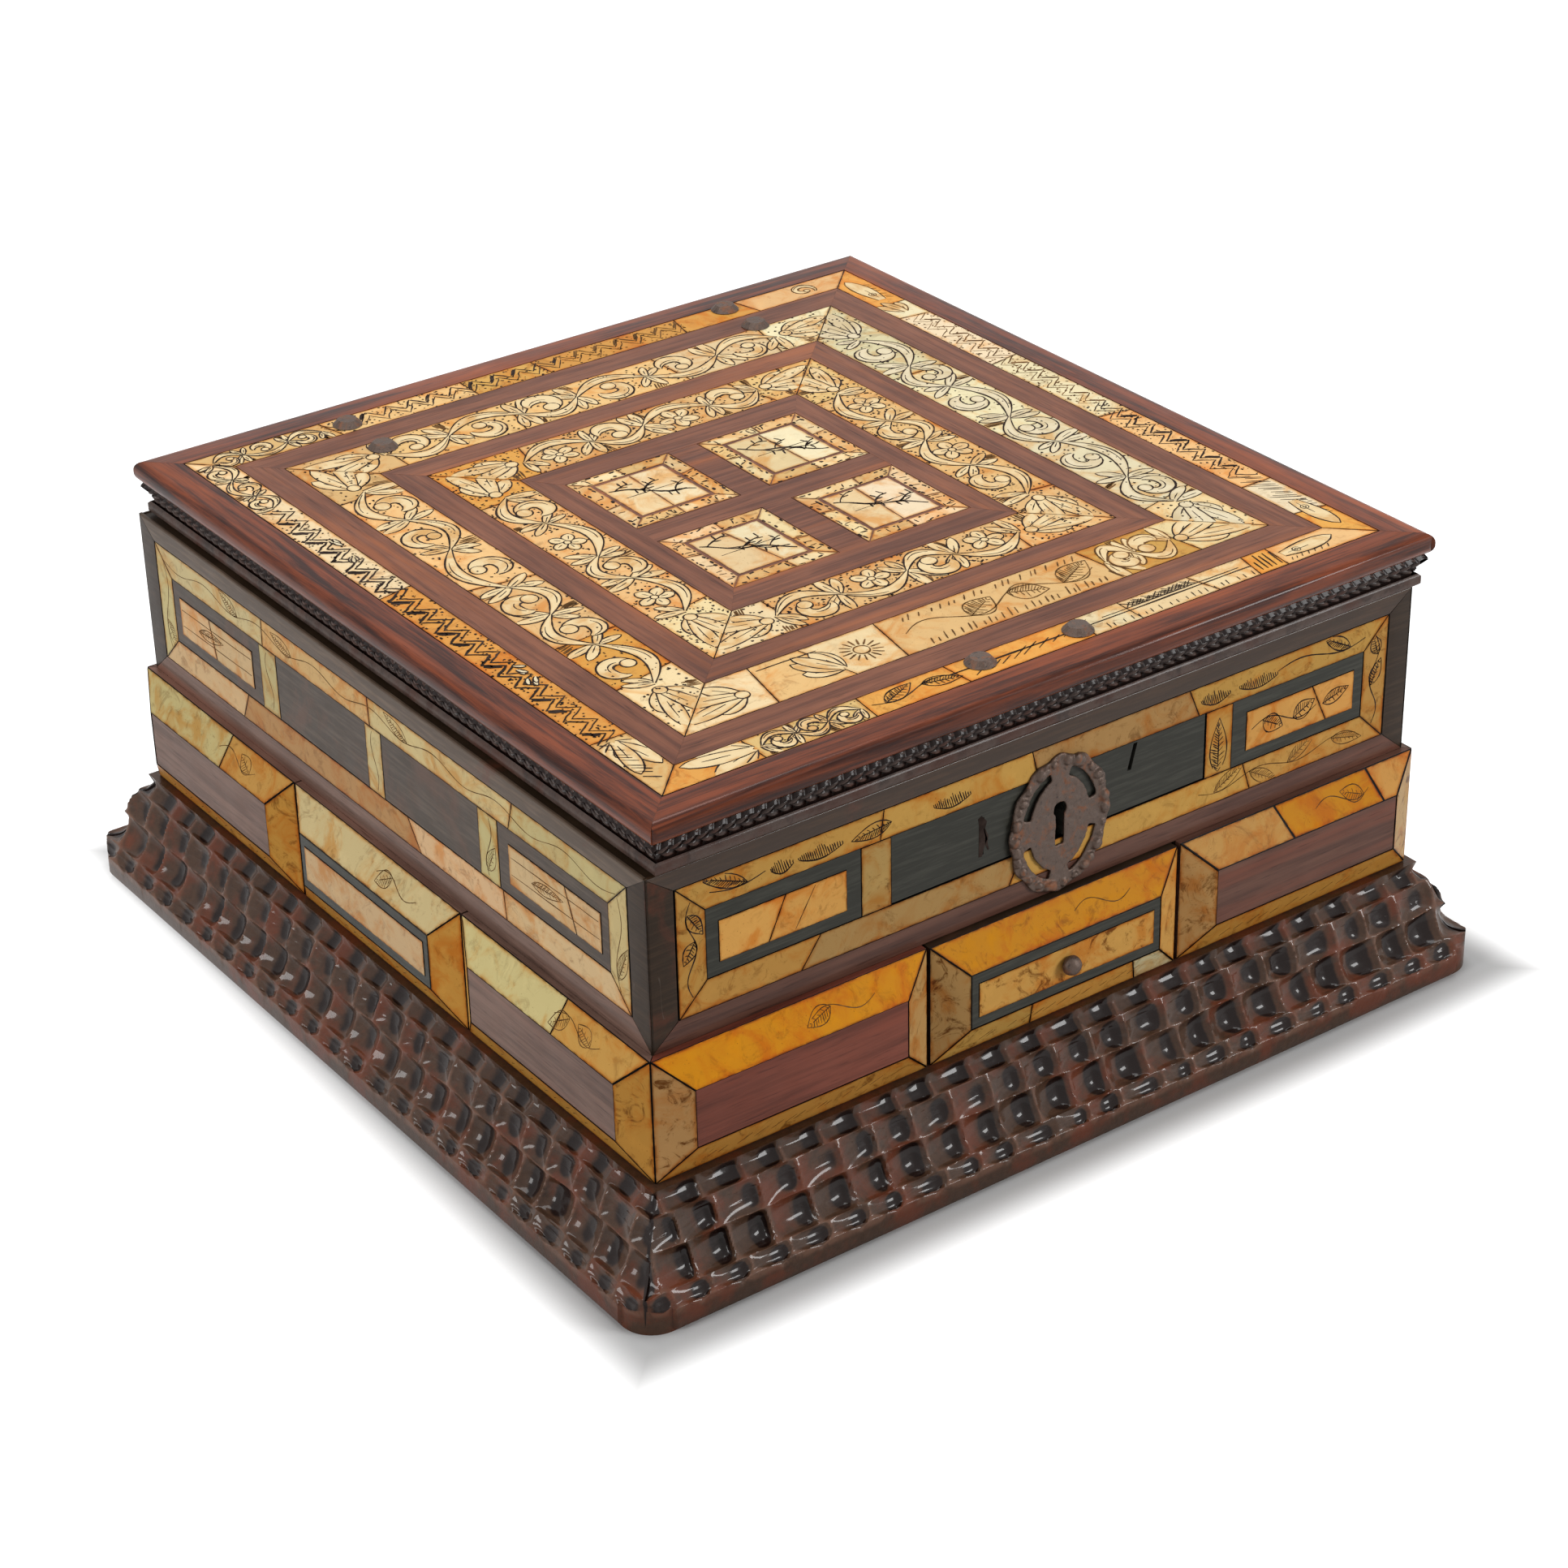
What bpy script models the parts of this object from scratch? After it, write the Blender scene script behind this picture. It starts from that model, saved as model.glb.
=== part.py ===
"""Table casket: a square ebonised wooden box on a moulded base, with a hinged lid,
a small drawer in the lower tier, an inside lock and engraved bone inlay.

The frame is in metres, +Z up, with the front at -Y and the origin on the floor
under the middle of the base.
"""

import math

import bmesh
import bpy
from mathutils import Matrix, Vector

# Clearances
CLEAR = 0.0003            # between pieces that touch, are let in or are mitred
RUN_CLEAR = 0.0001        # between a hinge pin and its knuckles, all round
SLIDE_CLEAR = 0.0010      # between the drawer and what it slides between

# Case, outside sizes
BODY_WIDTH = 0.2990       # X, over the upper walls
BODY_DEPTH = 0.3070       # Y, over the upper walls
WALL = 0.0080             # upper and lower wall boards
BASE_HEIGHT = 0.0385      # floor to the top of the base moulding
TIER_HEIGHT = 0.0433      # lower tier, with the drawer
UPPER_HEIGHT = 0.0592     # upper walls above the tier
BOTTOM_THICK = 0.0117     # bottom board
FLOOR_THICK = 0.0060      # floor of the main compartment
GUIDE_THICK = 0.0080      # drawer guides, which carry that floor

# Base moulding
BASE_PROJECTION = 0.0204  # beyond the tier's faces at the foot
BASE_FASCIA = 0.0095      # height of the plain foot
BASE_TOP_EDGE = 0.0032    # flat at the top, beyond the tier's faces
BASE_LEDGE = 0.0120       # ledge that carries the bottom board
BASE_SWELL = 0.0013       # how far the sloping band hollows below and swells above
BASE_CORNER = 0.0110      # rounding of the foot's corners, seen from above
RIB_PITCH = 0.0146        # from one carved lump of the sloping band to the next
RIB_HOLLOW = 0.0056       # width of the hollow between two lumps
RIB_DEPTH = 0.0022        # depth of that hollow
RIB_LEAN = 0.0080         # how far a hollow leans along the moulding over the band's height
RIB_END = 0.0060          # plain band before the tier's corner

# Raised blocks of the lower tier
TIER_STEP = 0.0026        # tier's faces beyond the upper walls
BLOCK_PROUD = 0.0060      # raised panels beyond the tier's faces
BLOCK_STRIP = 0.0115      # bevelled strip round each raised panel
BLOCK_GAP = 0.0008        # between neighbouring blocks

# Bone inlay
BONE = 0.0012             # thickness of all inlay
FRAME_EDGE = 0.0096       # ebonised border beside the frames
FRAME_STRIP = 0.0103      # width of the frames' strips
FRAME_LOW = 0.0083        # bottom of the frames above the tier
FRAME_HEIGHT = 0.0443     # over a frame
POST_PLACE = 0.0678       # from the middle to the outer posts of a frame
POST_WIDTH = 0.0112       # outer posts
MID_POST_WIDTH = 0.0098   # middle post of the side and back frames

# Lid
LID_GAP = 0.0006          # between the walls' top and the lid
LID_THICK = 0.0188        # over the lid
LID_OVERHANG = 0.0026     # nose beyond the walls
LID_NOSE = 0.0074         # height of the rounded nose
LID_ROUND = 0.0030        # rounding of the nose
LID_SHIFT_X = 0.0024      # the lid sits a little askew on worn hinges
LID_SHIFT_Y = -0.0018
RIPPLE_REACH = 0.0086     # width of the moulding under the nose
RIPPLE_SET = 0.0012       # moulding's top edge behind the nose
RIPPLE_SLOPE = 0.0026     # how far the moulding leans in to its quirk
FILLET_HEIGHT = 0.0040    # plain fillet under the moulding
FILLET_OUT = 0.0012       # fillet beyond the quirk
LID_BORDER = 0.0127       # wood outside the outer band
OUTER_BAND = 0.0129
OUTER_STRIP = 0.0120      # wood between outer and middle band
MIDDLE_BAND = 0.0235
INNER_STRIP = 0.0113      # wood between middle and inner band
INNER_BAND = 0.0226
PANEL_CROSS = 0.0122      # wood between the four small panels in the middle field
PANEL_MARGIN_X = 0.0098   # wood between the panels and the inner band
PANEL_MARGIN_Y = 0.0126

# Drawer
DRAWER_OPENING = 0.1012   # between the two lower front posts
DRAWER_LENGTH = 0.2300    # box behind the drawer's front
DRAWER_FRONT = 0.0100     # thickness of the front behind its raised panel
DRAWER_WALL = 0.0060
DRAWER_BOTTOM = 0.0050
DRAWER_HEADROOM = 0.0035  # from the drawer's walls to the top of the tier
STOP_THICK = 0.0080       # rail that stops the drawer
STOP_HEIGHT = 0.0220
KNOB_RADIUS = 0.0034
KNOB_LENGTH = 0.0085
KNOB_STEM = 0.0013

# Hinges, one on each side of the lid's back edge
HINGE_STANDOFF = 0.0040   # axis behind the back wall
HINGE_RISE = 0.0016       # axis above the walls
KNUCKLE_RADIUS = 0.0027
KNUCKLE_LENGTH = 0.0080   # lid's knuckle; the case has one at each end of it
KNUCKLE_SIDE = 0.0046     # each of the case's knuckles
PIN_RADIUS = 0.0012
LEAF_THICK = 0.0014
LEAF_HEIGHT = 0.0290
STRAP_THICK = 0.0013
STRAP_WIDTH = 0.0140
STRAP_END = 0.0085        # strap beyond its inner nail
HINGE_LEFT_IN = 0.0727    # from the lid's left end to the left strap
HINGE_LEFT_NAILS = (0.0193, 0.0433)     # from the lid's back edge, as they are found
HINGE_RIGHT_IN = 0.0702   # from the lid's right end to the right strap
HINGE_RIGHT_NAILS = (0.0163, 0.0356)
NAIL_RADIUS = 0.0016
NAIL_HEAD = 0.0052
NAIL_CROWN = 0.0033
NAIL_RISE = 0.0020

# Lock
LOCK_X = 0.0023           # middle of the keyhole
KEYHOLE_RISE = 0.0292     # round of the keyhole above the tier
KEYHOLE_RADIUS = 0.0026
KEYHOLE_SLOT = 0.0034
KEYHOLE_DROP = 0.0125     # slot below the round
SHIELD_WIDTH = 0.0400     # pierced iron escutcheon
SHIELD_HEIGHT = 0.0488
SHIELD_THICK = 0.0011
SHIELD_DROP = 0.0048      # its middle below the round of the keyhole
SHIELD_RIM = 0.0050       # iron outside the curved piercings
SHIELD_SLOT = 0.0030      # width of the piercings
SHIELD_SLOT_TURN = math.radians(58.0)
PLATE_WIDTH = 0.0480      # lock plate behind the front wall
PLATE_BELOW = 0.0170
PLATE_ABOVE = 0.0240
PLATE_THICK = 0.0015
BOLT_LENGTH = 0.0310
BOLT_HEIGHT = 0.0050
BOLT_THICK = 0.0044
BOLT_RISE = 0.0185        # middle of the bolt above the round of the keyhole
BOLT_STANDOFF = 0.0040    # bolt behind the lock plate
BOLT_TAIL = 0.0110
BOLT_TO_LOOP = 0.0022     # end of the drawn bolt to the lid's loop
LUG_WIDTH = 0.0040
LUG_WALL = 0.0022
LUG_PLACES = (0.0037, 0.0229)           # from the inner end of the drawn bolt
TAIL_PLAY = 0.0008        # drawn bolt's tail to the first lug
STAPLE_NAIL_LEFT = (-0.0179, 0.0205)    # from the keyhole, and from the lid's front edge
STAPLE_NAIL_RIGHT = (0.0188, 0.0187)
STAPLE_WIDTH = 0.0120
STAPLE_THICK = 0.0012
STAPLE_END = 0.0055
LOOP_THICK = 0.0030
LOOP_RIM = 0.0022         # iron round the loop's window
LOOP_PLAY = 0.0007        # window beyond the bolt
SLIT_WIDTH = 0.0016       # two slits beside the escutcheon
SLIT_DEPTH = 0.0040
SLIT_PLACES = (-0.0298, 0.0298)         # from the keyhole
SLIT_HEIGHTS = (0.0130, 0.0090)
SLIT_RISES = (0.0297, 0.0370)           # middles above the tier
SLIT_LEANS = (0.0002, 0.0024)           # upper end to the right of the lower one

# Levels and half sizes that follow from the values above
Z_TIER = BASE_HEIGHT
Z_UPPER = Z_TIER + TIER_HEIGHT
Z_TOP = Z_UPPER + UPPER_HEIGHT
Z_LID = Z_TOP + LID_GAP
Z_LID_TOP = Z_LID + LID_THICK
HALF_W = BODY_WIDTH / 2
HALF_D = BODY_DEPTH / 2
TIER_W = HALF_W + TIER_STEP
TIER_D = HALF_D + TIER_STEP
INNER_W = HALF_W - WALL
INNER_D = HALF_D - WALL
LID_W = HALF_W + LID_OVERHANG
LID_D = HALF_D + LID_OVERHANG
Z_KEY = Z_UPPER + KEYHOLE_RISE
AXIS_Y = HALF_D + HINGE_STANDOFF
AXIS_Z = Z_TOP + HINGE_RISE
MITRE = CLEAR / math.sqrt(2)
OVERCUT = 0.002           # how far a cutter runs past the face it cuts

FRONT, RIGHT, BACK, LEFT = range(4)

for old in list(bpy.data.objects):
    bpy.data.objects.remove(old, do_unlink=True)

PARTS = bpy.data.collections.new("table_casket")
CUTTERS = bpy.data.collections.new("cutters")
for group in (PARTS, CUTTERS):
    bpy.context.scene.collection.children.link(group)


def material(name, colour, roughness, metallic=0.0):
    """Return a Principled material."""
    made = bpy.data.materials.new(name)
    made.use_nodes = True
    shader = made.node_tree.nodes["Principled BSDF"]
    shader.inputs["Base Color"].default_value = (*colour, 1.0)
    shader.inputs["Roughness"].default_value = roughness
    shader.inputs["Metallic"].default_value = metallic
    return made


EBONISED = material("ebonised_wood", (0.030, 0.022, 0.020), 0.38)
DARK_MOULDING = material("rippled_moulding", (0.060, 0.030, 0.024), 0.30)
RED_WOOD = material("red_brown_wood", (0.170, 0.062, 0.038), 0.36)
PLAIN_WOOD = material("plain_wood", (0.240, 0.140, 0.075), 0.60)
BONE_INLAY = material("bone", (0.740, 0.600, 0.390), 0.42)
IRON = material("iron", (0.080, 0.058, 0.046), 0.62, 0.80)


def empty(name, place):
    """Return an empty that carries a moving body."""
    made = bpy.data.objects.new(name, None)
    made.location = place
    PARTS.objects.link(made)
    return made


LID_AXIS = empty("lid_axis", (0.0, AXIS_Y, AXIS_Z))
DRAWER_AXIS = empty("drawer_axis", (0.0, -TIER_D, Z_TIER))
BOLT_AXIS = empty("bolt_axis", (LOCK_X, -INNER_D, Z_KEY + BOLT_RISE))


def add(name, mesh, place, finish, carrier=None, side=FRONT, cutter=False):
    """Put a mesh into the scene at a world place, turned to one of the four sides."""
    made = bpy.data.objects.new(name, mesh)
    where = Matrix.Rotation(side * math.pi / 2, 3, "Z") @ Vector(place)
    if cutter:
        CUTTERS.objects.link(made)
        made.hide_render = True
        made.display_type = "WIRE"
    else:
        PARTS.objects.link(made)
        mesh.materials.append(finish)
    if carrier is not None:
        made.parent = carrier
        where = where - Vector(carrier.location)
    made.location = where
    made.rotation_euler.z = side * math.pi / 2
    return made


def box_mesh(name, size):
    """Return a box round its own middle."""
    work = bmesh.new()
    bmesh.ops.create_cube(work, size=1.0)
    bmesh.ops.scale(work, vec=size, verts=work.verts)
    mesh = bpy.data.meshes.new(name)
    work.to_mesh(mesh)
    work.free()
    return mesh


def box(name, low, high, finish, carrier=None, side=FRONT, cutter=False):
    """Add a box between two corners."""
    low, high = Vector(low), Vector(high)
    return add(name, box_mesh(name, high - low), (low + high) / 2, finish, carrier, side, cutter)


def rod(name, start, axis, radius, length, finish, carrier=None, cutter=False, tip=None, sides=24):
    """Add a round bar, or a cone if its tip has its own radius, from a point along an axis."""
    work = bmesh.new()
    bmesh.ops.create_cone(work, cap_ends=True, segments=sides, radius1=radius,
                          radius2=radius if tip is None else tip, depth=length)
    turn = Vector((0.0, 0.0, 1.0)).rotation_difference(Vector(axis)).to_matrix()
    bmesh.ops.rotate(work, cent=(0.0, 0.0, 0.0), matrix=turn, verts=work.verts)
    mesh = bpy.data.meshes.new(name)
    work.to_mesh(mesh)
    work.free()
    mesh.shade_smooth()
    mesh.set_sharp_from_angle(angle=math.radians(40))
    return add(name, mesh, Vector(start) + Vector(axis) * length / 2, finish, carrier, FRONT, cutter)


def outline_mesh(name, loops, thickness):
    """Return a flat plate in XY from closed outlines, the later ones being holes in the first."""
    curve = bpy.data.curves.new(name, "CURVE")
    curve.dimensions = "2D"
    curve.fill_mode = "BOTH"
    curve.extrude = thickness / 2
    for loop in loops:
        spline = curve.splines.new("POLY")
        spline.points.add(len(loop) - 1)
        for point, (x, y) in zip(spline.points, loop):
            point.co = (x, y, 0.0, 1.0)
        spline.use_cyclic_u = True
    guide = bpy.data.objects.new(name, curve)
    CUTTERS.objects.link(guide)
    bpy.context.view_layer.update()
    mesh = bpy.data.meshes.new_from_object(guide.evaluated_get(bpy.context.evaluated_depsgraph_get()))
    bpy.data.objects.remove(guide, do_unlink=True)
    mesh.materials.clear()
    work = bmesh.new()
    work.from_mesh(mesh)
    bmesh.ops.remove_doubles(work, verts=work.verts, dist=1e-7)
    bmesh.ops.recalc_face_normals(work, faces=work.faces)
    work.to_mesh(mesh)
    work.free()
    mesh.name = name
    return mesh


def stand_up(mesh):
    """Turn a plate that lies in XY so that it stands in XZ, with its outside to -Y."""
    mesh.transform(Matrix.Rotation(math.pi / 2, 4, "X"))
    return mesh


def rectangle(x0, y0, x1, y1):
    """Return a rectangle's corners."""
    return [(x0, y0), (x1, y0), (x1, y1), (x0, y1)]


def cut(piece, cutter):
    """Cut one object out of another."""
    step = piece.modifiers.new("cut", "BOOLEAN")
    step.operation = "DIFFERENCE"
    step.solver = "EXACT"
    step.object = cutter


def fuse(piece, other):
    """Join another object to a piece."""
    step = piece.modifiers.new("join", "BOOLEAN")
    step.operation = "UNION"
    step.solver = "EXACT"
    step.object = other


def moulding(name, profile, plane, half, finish, side, carrier=None, shift=(0.0, 0.0)):
    """Add a length of moulding with mitred ends.

    The profile's points are (out, z), with out measured from a plane that is this far from
    the middle; half is the moulding's half length at that plane.
    """
    mesh = outline_mesh(name, [profile], 2.0)
    for vertex in mesh.vertices:
        out, height, end = vertex.co
        reach = half + out - MITRE
        vertex.co = (math.copysign(reach, end), -(plane + out), height)
    work = bmesh.new()
    work.from_mesh(mesh)
    bmesh.ops.recalc_face_normals(work, faces=work.faces)
    work.to_mesh(mesh)
    work.free()
    made = add(name, mesh, (0.0, 0.0, 0.0), finish, carrier, side)
    made.location.x += shift[0]
    made.location.y += shift[1]
    return made


# Base: four mitred mouldings, with a ledge inside for the bottom board
LEDGE_Z = BASE_HEIGHT - BOTTOM_THICK - CLEAR
BOARD_INSET = TIER_STEP + CLEAR
BAND_RISE = BASE_HEIGHT - BASE_TOP_EDGE - BASE_FASCIA - BASE_TOP_EDGE
BAND_LOW = BASE_FASCIA + BASE_TOP_EDGE
BAND_HIGH = BAND_LOW + BAND_RISE


def base_profile():
    """Return the base moulding's section: plain foot, swelling band, flat top, ledge."""
    foot = [(-BOARD_INSET - BASE_LEDGE, 0.0), (BASE_PROJECTION - BASE_TOP_EDGE / 2, 0.0),
            (BASE_PROJECTION, BASE_TOP_EDGE), (BASE_PROJECTION, BASE_FASCIA)]
    band = []
    steps = 8
    for index in range(steps + 1):
        along = index / steps
        out = BASE_PROJECTION - BASE_TOP_EDGE / 2 + (1.5 * BASE_TOP_EDGE - BASE_PROJECTION) * along
        swell = -BASE_SWELL * math.sin(2 * math.pi * along)
        band.append((out + swell, BAND_LOW + BAND_RISE * along + swell / 2))
    head = [(BASE_TOP_EDGE, BASE_HEIGHT), (-BOARD_INSET, BASE_HEIGHT),
            (-BOARD_INSET, LEDGE_Z), (-BOARD_INSET - BASE_LEDGE, LEDGE_Z)]
    return foot + band + head


def band_faces(work, plane):
    """Return the faces of a base moulding's sloping band, which lies outside a plane."""
    return [face for face in work.faces
            if all(BAND_LOW - CLEAR < vertex.co.z < BAND_HIGH + CLEAR and -vertex.co.y > plane
                   for vertex in face.verts)]


def carve_ribs(piece, plane, half):
    """Carve leaning hollows into the sloping band of a base moulding, a pitch apart."""
    work = bmesh.new()
    work.from_mesh(piece.data)
    inward = Vector((0.0, BAND_RISE, 1.5 * BASE_TOP_EDGE - BASE_PROJECTION)).normalized()
    count = round((half - RIB_END) / RIB_PITCH)
    for index in range(-count, count):
        middle = (index + 0.5) * RIB_PITCH
        for offset, depth in ((-RIB_HOLLOW / 2, 0.0), (RIB_HOLLOW / 2, 0.0), (0.0, RIB_DEPTH)):
            faces = band_faces(work, plane)
            edges = {edge for face in faces for edge in face.edges}
            verts = {vertex for face in faces for vertex in face.verts}
            made = bmesh.ops.bisect_plane(work, geom=[*faces, *edges, *verts], dist=1e-6,
                                          plane_co=(middle + offset, 0.0, BAND_LOW),
                                          plane_no=(BAND_RISE, 0.0, RIB_LEAN))
            for vertex in made["geom_cut"]:
                if isinstance(vertex, bmesh.types.BMVert) and BAND_LOW + CLEAR < vertex.co.z < BAND_HIGH - CLEAR:
                    vertex.co += inward * depth
    bmesh.ops.connect_verts_nonplanar(work, angle_limit=math.radians(0.5), faces=band_faces(work, plane))
    work.to_mesh(piece.data)
    work.free()


def corner_loop(across, along):
    """Return what is cut away outside the rounding of one of the foot's corners."""
    far_w, far_d = TIER_W + BASE_PROJECTION, TIER_D + BASE_PROJECTION
    steps, first, last = 6, math.radians(6), math.radians(84)
    arc = []
    for index in range(steps + 1):
        turn = first + (last - first) * index / steps
        arc.append((far_w - BASE_CORNER * (1 - math.cos(turn)), far_d - BASE_CORNER * (1 - math.sin(turn))))
    loop = arc + [(arc[-1][0], far_d + OVERCUT), (far_w + OVERCUT, far_d + OVERCUT), (far_w + OVERCUT, arc[0][1])]
    return [(across * x, along * y) for x, y in loop]


base = {}
for side, name in enumerate(("base_front", "base_right", "base_back", "base_left")):
    across = side in (FRONT, BACK)
    plane, half = (TIER_D, TIER_W) if across else (TIER_W, TIER_D)
    base[side] = moulding(name, base_profile(), plane, half, DARK_MOULDING, side)
    carve_ribs(base[side], plane, half)
for across, side_x in ((-1, LEFT), (1, RIGHT)):
    for along, side_y in ((-1, FRONT), (1, BACK)):
        tall = BASE_HEIGHT + 2 * OVERCUT
        corner = add(f"base_corner_{side_x}_{side_y}",
                     outline_mesh("base_corner", [corner_loop(across, along)], tall),
                     (0.0, 0.0, BASE_HEIGHT / 2), None, cutter=True)
        cut(base[side_x], corner)
        cut(base[side_y], corner)

BOARD_W = TIER_W - BOARD_INSET - CLEAR
BOARD_D = TIER_D - BOARD_INSET - CLEAR
Z_BOARD = BASE_HEIGHT - CLEAR
box("bottom_board", (-BOARD_W, -BOARD_D, Z_BOARD - BOTTOM_THICK), (BOARD_W, BOARD_D, Z_BOARD), PLAIN_WOOD)

# Walls
left_board = box("left_board", (-HALF_W, -HALF_D, Z_TIER), (-INNER_W, HALF_D, Z_TOP), EBONISED)
right_board = box("right_board", (INNER_W, -HALF_D, Z_TIER), (HALF_W, HALF_D, Z_TOP), EBONISED)
back_board = box("back_board", (CLEAR - INNER_W, INNER_D, Z_TIER), (INNER_W - CLEAR, HALF_D, Z_TOP), EBONISED)
front_rail = box("front_rail", (CLEAR - INNER_W, -HALF_D, Z_UPPER + CLEAR),
                 (INNER_W - CLEAR, -INNER_D, Z_TOP), EBONISED)
OPEN_HALF = DRAWER_OPENING / 2
box("front_post_left", (CLEAR - INNER_W, -HALF_D, Z_TIER), (-OPEN_HALF, -INNER_D, Z_UPPER), EBONISED)
box("front_post_right", (OPEN_HALF, -HALF_D, Z_TIER), (INNER_W - CLEAR, -INNER_D, Z_UPPER), EBONISED)

# Inside of the case: the guides carry the compartment's floor and lead the drawer
GUIDE_TOP = Z_UPPER + CLEAR
GUIDE_IN = OPEN_HALF - CLEAR
GUIDE_D = INNER_D - CLEAR
box("drawer_guide_left", (-GUIDE_IN - GUIDE_THICK, -GUIDE_D, Z_TIER), (-GUIDE_IN, GUIDE_D, GUIDE_TOP), PLAIN_WOOD)
box("drawer_guide_right", (GUIDE_IN, -GUIDE_D, Z_TIER), (GUIDE_IN + GUIDE_THICK, GUIDE_D, GUIDE_TOP), PLAIN_WOOD)
FLOOR_Z = GUIDE_TOP + CLEAR
box("compartment_floor", (CLEAR - INNER_W, -GUIDE_D, FLOOR_Z), (INNER_W - CLEAR, GUIDE_D, FLOOR_Z + FLOOR_THICK),
    PLAIN_WOOD)


# Raised blocks of the lower tier
def block_mesh(name, start, end, low, high, back, corner_start, corner_end):
    """Return a raised block that faces -Y, from its back plane to its raised panel.

    Its ends are mitred where they meet the block round the corner. All places are measured
    in the frame of one side, and the back plane is given as a distance in front of the face.
    """
    work = bmesh.new()
    bmesh.ops.create_cube(work, size=1.0)
    bmesh.ops.scale(work, vec=(end - start, back, high - low), verts=work.verts)
    bmesh.ops.translate(work, vec=((start + end) / 2, back / 2, (low + high) / 2), verts=work.verts)
    for vertex in work.verts:
        if vertex.co.y > back / 2:
            if corner_start and vertex.co.x < (start + end) / 2:
                vertex.co.x += back
            if corner_end and vertex.co.x > (start + end) / 2:
                vertex.co.x -= back
    work.normal_update()
    face = [found for found in work.faces if found.normal.y < -0.9]
    bmesh.ops.inset_region(work, faces=face, thickness=BLOCK_STRIP, use_even_offset=True)
    bmesh.ops.translate(work, vec=(0.0, -BLOCK_PROUD, 0.0), verts=face[0].verts)
    mesh = bpy.data.meshes.new(name)
    work.to_mesh(mesh)
    work.free()
    return mesh


BLOCK_LOW = Z_TIER + CLEAR
BLOCK_BACK = TIER_STEP - CLEAR


def block(name, side, start, end, finish, corner_start=False, corner_end=False):
    """Add a fixed block on one side of the tier."""
    plane = TIER_D if side in (FRONT, BACK) else TIER_W
    start += MITRE if corner_start else 0.0
    end -= MITRE if corner_end else 0.0
    mesh = block_mesh(name, start, end, BLOCK_LOW, Z_UPPER, BLOCK_BACK, corner_start, corner_end)
    return add(name, mesh, (0.0, -plane, 0.0), finish, None, side)


FRONT_SPLIT = OPEN_HALF + BLOCK_GAP / 2
SIDE_SPLIT = TIER_D / 3
block("front_block_left", FRONT, -TIER_W, -FRONT_SPLIT, RED_WOOD, corner_start=True)
block("front_block_right", FRONT, FRONT_SPLIT, TIER_W, RED_WOOD, corner_end=True)
SIDE_BLOCKS = ((RIGHT, "right_block", TIER_D, SIDE_SPLIT), (BACK, "back_block", TIER_W, OPEN_HALF),
               (LEFT, "left_block", TIER_D, SIDE_SPLIT))
for side, stem, half, split in SIDE_BLOCKS:
    block(stem + "_start", side, -half, -split - BLOCK_GAP / 2, RED_WOOD, corner_start=True)
    block(stem + "_middle", side, -split + BLOCK_GAP / 2, split - BLOCK_GAP / 2, RED_WOOD)
    block(stem + "_end", side, split + BLOCK_GAP / 2, half, RED_WOOD, corner_end=True)

# Bone frames let into the four upper faces
FRAME_Z = Z_UPPER + FRAME_LOW


def frame_posts(half, with_middle):
    """Return the left and right edge of each upright strip of a frame."""
    posts = [(-POST_PLACE, POST_WIDTH), (POST_PLACE, POST_WIDTH)]
    if with_middle:
        posts.insert(1, (0.0, MID_POST_WIDTH))
    inner = [(place - width / 2, place + width / 2) for place, width in posts]
    return [(-half, FRAME_STRIP - half), *inner, (half - FRAME_STRIP, half)]


def bone_frame(name, side, board, half, plane, with_middle):
    """Add a frame of bone strips and cut its bed into the wall."""
    posts = frame_posts(half, with_middle)
    loops = [rectangle(-half, 0.0, half, FRAME_HEIGHT)]
    for (_, x0), (x1, _) in zip(posts, posts[1:]):
        loops.append(rectangle(x0, FRAME_STRIP, x1, FRAME_HEIGHT - FRAME_STRIP))
    mesh = stand_up(outline_mesh(name, loops, BONE))
    made = add(name, mesh, (0.0, -plane + BONE / 2, FRAME_Z), BONE_INLAY, None, side)
    bars = [(-half, 0.0, half, FRAME_STRIP), (-half, FRAME_HEIGHT - FRAME_STRIP, half, FRAME_HEIGHT)]
    bars += [(x0, FRAME_STRIP / 2, x1, FRAME_HEIGHT - FRAME_STRIP / 2) for x0, x1 in posts]
    for index, (x0, z0, x1, z1) in enumerate(bars):
        bed = box(f"{name}_bed_{index}", (x0 - CLEAR, -plane - OVERCUT, FRAME_Z + z0 - CLEAR),
                  (x1 + CLEAR, -plane + BONE + CLEAR, FRAME_Z + z1 + CLEAR), None, None, side, True)
        cut(board, bed)
    return made


FRAME_W = HALF_W - FRAME_EDGE
FRAME_D = HALF_D - FRAME_EDGE
bone_frame("front_frame", FRONT, front_rail, FRAME_W, HALF_D, False)
bone_frame("right_frame", RIGHT, right_board, FRAME_D, HALF_W, True)
bone_frame("back_frame", BACK, back_board, FRAME_W, HALF_D, True)
bone_frame("left_frame", LEFT, left_board, FRAME_D, HALF_W, True)


# Lock: keyhole, escutcheon, plate behind the wall and the sliding bolt
def keyhole_loop(grow):
    """Return a keyhole round its upper round: a circle with a slot below."""
    radius = KEYHOLE_RADIUS + grow
    half = KEYHOLE_SLOT / 2 + grow
    dip = math.asin(min(half / radius, 0.95))
    start, sweep, steps = -math.pi / 2 + dip, 2 * math.pi - 2 * dip, 16
    arc = [(radius * math.cos(start + sweep * k / steps), radius * math.sin(start + sweep * k / steps))
           for k in range(steps + 1)]
    return arc + [(-half, -KEYHOLE_DROP - grow), (half, -KEYHOLE_DROP - grow)]


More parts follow.
